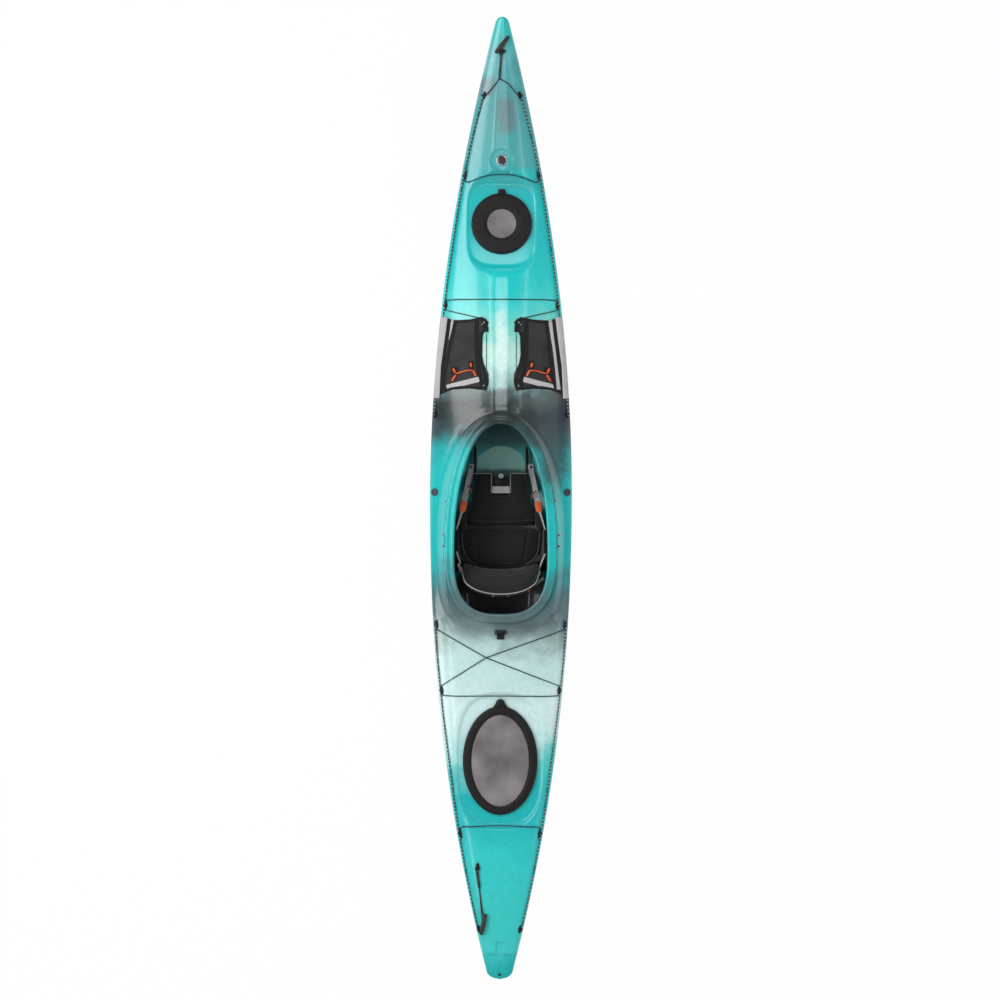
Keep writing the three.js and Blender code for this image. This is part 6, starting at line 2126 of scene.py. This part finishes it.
        self.back_fittings()

    def back_fittings(self) -> None:
        """The orange adjuster knob, and the two pale rivets on the bracket behind the back."""
        base = self.on_back(np.array([128.0]), np.array([-52.0]), np.array([176.0]))[0]
        rings = circles(*base, ((9, -8), (10, -6), (10, 5), (8.5, 7), (4, 7.6)))
        solid_piece("seat_back_knob", rings, self.paints.knob, "seat_back")
        for side in Side:
            place = self.on_back(np.array([side.value * 34.0]), np.array([-71.0]), np.array([199.5]))[0]
            rings = circles(*place, ((5.5, -2), (5.5, 1), (4, 2.2), (1.5, 2.5)))
            solid_piece(f"seat_back_rivet_{side.label}", rings, self.paints.steel, "seat_back")
        self.back_ties()

    def back_ties(self) -> None:
        """The short pale straps that tie the back to the seat's sides."""
        ties = (
            ("tie_left", [(-207, -240, 152), (-199, -266, 146), (-190, -292, 138)], 3.6, self.paints.pale_webbing),
            ("tab_left", [(-197, -296, 146), (-191, -314, 150), (-184, -334, 158)], 7.5, self.paints.pale_webbing),
            ("tie_right", [(207, -249, 152), (192, -288, 150), (178, -328, 156)], 4.2, self.paints.pale_webbing),
            ("tab_right", [(200, -360, 206), (182, -374, 212), (160, -392, 216)], 7.0, self.paints.grey_plate),
        )
        for name, places, half, material in ties:
            path = resampled(catmull(np.array(places), 8), 24)
            section = rounded([(-half, -1.0), (half, -1.0), (half, 1.0), (-half, 1.0)], 1)
            piece = solid_piece(f"seat_back_{name}", swept(path, section), material, "seat_back", smooth=50)

    def straps(self) -> None:
        """The side straps with their buckles, bolts, orange tags and red pulls."""
        section = rounded([(-12, -1.5), (12, -1.5), (12, 1.5), (-12, 1.5)], 1)
        share = np.linspace(0.0, 1.0, STRAP_STEPS)
        width = lerp(1.0, 0.4, smoothstep(share, 0.68, 0.76)) * lerp(1.0, 0.7, smoothstep(share, 0.76, 1.0))
        sections = section[None] * np.stack([width, np.ones(STRAP_STEPS)], axis=-1)[:, None, :]
        for side in Side:
            places = np.array([[side.value * x, self.along + y, z] for x, y, z in STRAP_ROUTE])
            path = resampled(catmull(places, 10), STRAP_STEPS)
            strap = solid_piece(
                f"seat_strap_web_{side.label}", swept(path, sections), self.paints.pale_webbing, smooth=50
            )
            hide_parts(f"seat_strap_{side.label}")
            self.strap_parts(side, path)

    def strap_parts(self, side: Side, path: Array) -> None:
        """Buckle, tag, bolt and pull of one strap, each on a stretch of its path.

        Args:
            side: The side of the boat.
            path: The strap's middle line.
        """
        parts = (
            ("slide", 0.27, 0.44, 18.0, 3.0, -4.0, self.paints.fitting),
            ("buckle", 0.45, 0.555, 14.5, 3.6, 0.0, self.paints.grey_plate),
            ("tag", 0.56, 0.73, 15.0, 4.0, 1.0, self.paints.knob),
        )
        for name, start, end, half, deep, lift, material in parts:
            stretch = resampled(
                path[int(start * STRAP_STEPS) : int(end * STRAP_STEPS)], 16
            ) + np.array([0.0, 0.0, lift])
            share = np.linspace(-1, 1, 16)
            fade = np.sqrt(np.clip(1.03 - share**8, 0.1, 1))
            section = rounded([(-half, -deep), (half, -deep), (half, deep), (-half, deep)], 2)
            rings = swept(stretch, section[None] * fade[:, None, None])
            solid_piece(f"seat_strap_{name}_{side.label}", rings, material, smooth=50)
        for name, r, h, material in (
            ("bolt_washer", 8.0, 3.4, self.paints.steel), ("bolt", 4.6, 6.2, self.paints.fitting)
        ):
            rings = circles(*path[3], ((r, 0.5), (r, h - 1.0), (r * 0.85, h), (r * 0.4, h + 0.3)))
            solid_piece(f"seat_strap_{name}_{side.label}", rings, material)
        # The right pull hangs further back, where the leg cushion is wider, so it starts further out.
        back, out = (0.0, 0.0) if side is Side.LEFT else (-26.0, 6.0)
        places = [[side.value * (x + out), y + back, z] for x, y, z in PULL_ROUTE]
        rings = swept(catmull(np.array(places), 8), round_section(3.0, 8))
        solid_piece(f"seat_strap_pull_{side.label}", rings, self.paints.pink, smooth=60)


# The studio

WHITE = (1, 1, 1, 1)


@dataclass
class Studio:
    """White floor, soft lamps and the overhead camera, in metres.

    Attributes:
        distance: The camera's height over the plane that is in scale.
        plane: Height of that plane.
        half_field: Half the width that the picture shows on it.
        floor_z: Height of the floor, just under the keel.
    """

    distance: float = 9.0
    plane: float = 0.33
    half_field: float = 2.2975
    floor_z: float = -0.002

    def build(self) -> None:
        """Makes the floor, world, lamps and camera."""
        self.floor()
        self.world()
        self.lamps()
        self.camera()

    def floor(self) -> None:
        """A wide pale floor: white to the camera and to gloss, with a trace of the boat's shadow."""
        data = bpy.data.meshes.new("floor")
        corners = [(x, y, self.floor_z) for x, y in ((-30, -30), (30, -30), (30, 30), (-30, 30))]
        data.from_pydata(corners, [], [(0, 1, 2, 3)])
        floor = placed("floor", data)
        g = NodeGraph("matt_painted_floor")
        matt = g.add("ShaderNodeBsdfDiffuse", {"Color": linear("#e8e8e8")}).outputs[0]
        glow = g.add("ShaderNodeEmission", {"Color": WHITE, "Strength": 1.0}).outputs[0]
        path = g.add("ShaderNodeLightPath").outputs
        seen = g.math(
            "MAXIMUM", path["Is Camera Ray"], g.math("MAXIMUM", path["Is Glossy Ray"], path["Is Transmission Ray"])
        )
        factor = g.math("MULTIPLY", seen, 0.97)
        mixed = g.add("ShaderNodeMixShader", {0: factor, 1: matt, 2: glow}).outputs[0]
        g.link(mixed, g.output.inputs["Surface"])
        data.materials.append(g.owner)

    def world(self) -> None:
        """A soft grey surround for light: white walls with a dim ceiling in gloss, and white to the camera."""
        g = NodeGraph("studio", world=True)
        bpy.context.scene.world = g.owner
        path = g.add("ShaderNodeLightPath").outputs
        up = g.add("ShaderNodeSeparateXYZ", {0: g.add("ShaderNodeTexCoord").outputs["Generated"]}).outputs["Z"]
        fade = g.between(up, 0.12, 0.5, 1.0, 0.14)
        light, dim, bright = (
            g.add("ShaderNodeBackground", {"Color": WHITE, "Strength": strength}).outputs[0]
            for strength in (0.62, fade, 1.0)
        )
        gloss = g.add("ShaderNodeMixShader", {0: path["Is Glossy Ray"], 1: light, 2: dim}).outputs[0]
        seen = g.add("ShaderNodeMixShader", {0: path["Is Camera Ray"], 1: gloss, 2: bright}).outputs[0]
        g.link(seen, g.output.inputs["Surface"])

    def lamps(self) -> None:
        """A long softbox over the port side, a fill to starboard and a narrow strip overhead for the ridge."""
        for name, place, aim, size, power in (
            ("key_softbox", (-3.2, 0.6, 4.2), (0.0, 0.2, 0.2), (1.6, 5.5), 128.0),
            ("fill_softbox", (3.6, -0.4, 3.6), (0.0, 0.0, 0.2), (1.6, 5.0), 12.0),
            ("ridge_strip", (-0.02, 1.5, 6.2), (0.0, 1.5, 0.3), (0.5, 0.9), 9.0),
            ("port_line", (-1.9, 0.0, 5.2), (0.0, 0.0, 0.3), (0.12, 6.0), 26.0),
            ("starboard_line", (2.5, 0.0, 4.6), (0.0, 0.0, 0.3), (0.1, 5.5), 12.0),
        ):
            lamp = bpy.data.lights.new(name, "AREA")
            lamp.shape = "RECTANGLE"
            lamp.size, lamp.size_y = size
            lamp.energy = power
            item = placed(name, lamp)
            item.location = place
            ahead = np.array(aim) - np.array(place)
            ahead = ahead / np.linalg.norm(ahead)
            long_axis = np.array([0.0, 1.0, 0.0])
            right = np.cross(long_axis, -ahead)
            right /= np.linalg.norm(right)
            up = np.cross(-ahead, right)
            matrix = np.eye(4)
            matrix[:3, 0], matrix[:3, 1], matrix[:3, 2], matrix[:3, 3] = right, up, -ahead, place
            item.matrix_world = Matrix(matrix.tolist())
            item.visible_camera = False

    def camera(self) -> None:
        """The camera straight above the boat, its bow up in the picture."""
        data = bpy.data.cameras.new("overhead")
        data.sensor_fit = "HORIZONTAL"
        data.angle = 2 * math.atan(self.half_field / self.distance)
        data.clip_end = 100
        item = placed("overhead", data)
        item.location = (-0.0043, 0.002, self.plane + self.distance)
        item.rotation_euler = (0.0, 0.0, 0.0028)
        bpy.context.scene.camera = item
        bpy.context.scene.view_settings.view_transform = "Standard"


def main() -> None:
    """Builds the looks of the whole boat, piece by piece."""
    logging.basicConfig(level=logging.INFO, format="%(message)s")
    FRAME.update(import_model())
    Studio().build()
    paints = Paints()
    form = HullForm()
    Hull(paints, form).build()
    bow_edge = Oval(form.bow_recess.along, 140.0, 140.0, 140.0)
    stern_edge = Oval(form.stern_recess.along, 173.0, 251.0, 251.0)
    Hatch(paints, "bow", bow_edge, form.bow_floor, 72.0, (19.5, 16.5, 25.0)).build()
    Hatch(paints, "stern", stern_edge, form.stern_floor, 39.0, (36.0, 15.0, 39.0)).build()
    for side in Side:
        DeckPocket(paints, form, side).build()
    DeckGear(paints, form).build()
    bow_knots = ((4.0, 2046.0, 13.0, 0.5), (-6.0, 2040.0, 11.0, 2.2))
    CarryHandle(paints, "bow", "bow_carry_handle", form, bow_knots).build()
    CarryHandle(paints, "stern", "stern_carry_handle", form).build()
    FootBraces(paints).build()
    Bulkheads(paints).build()
    Seat(paints).build()


if __name__ == "__main__":
    main()
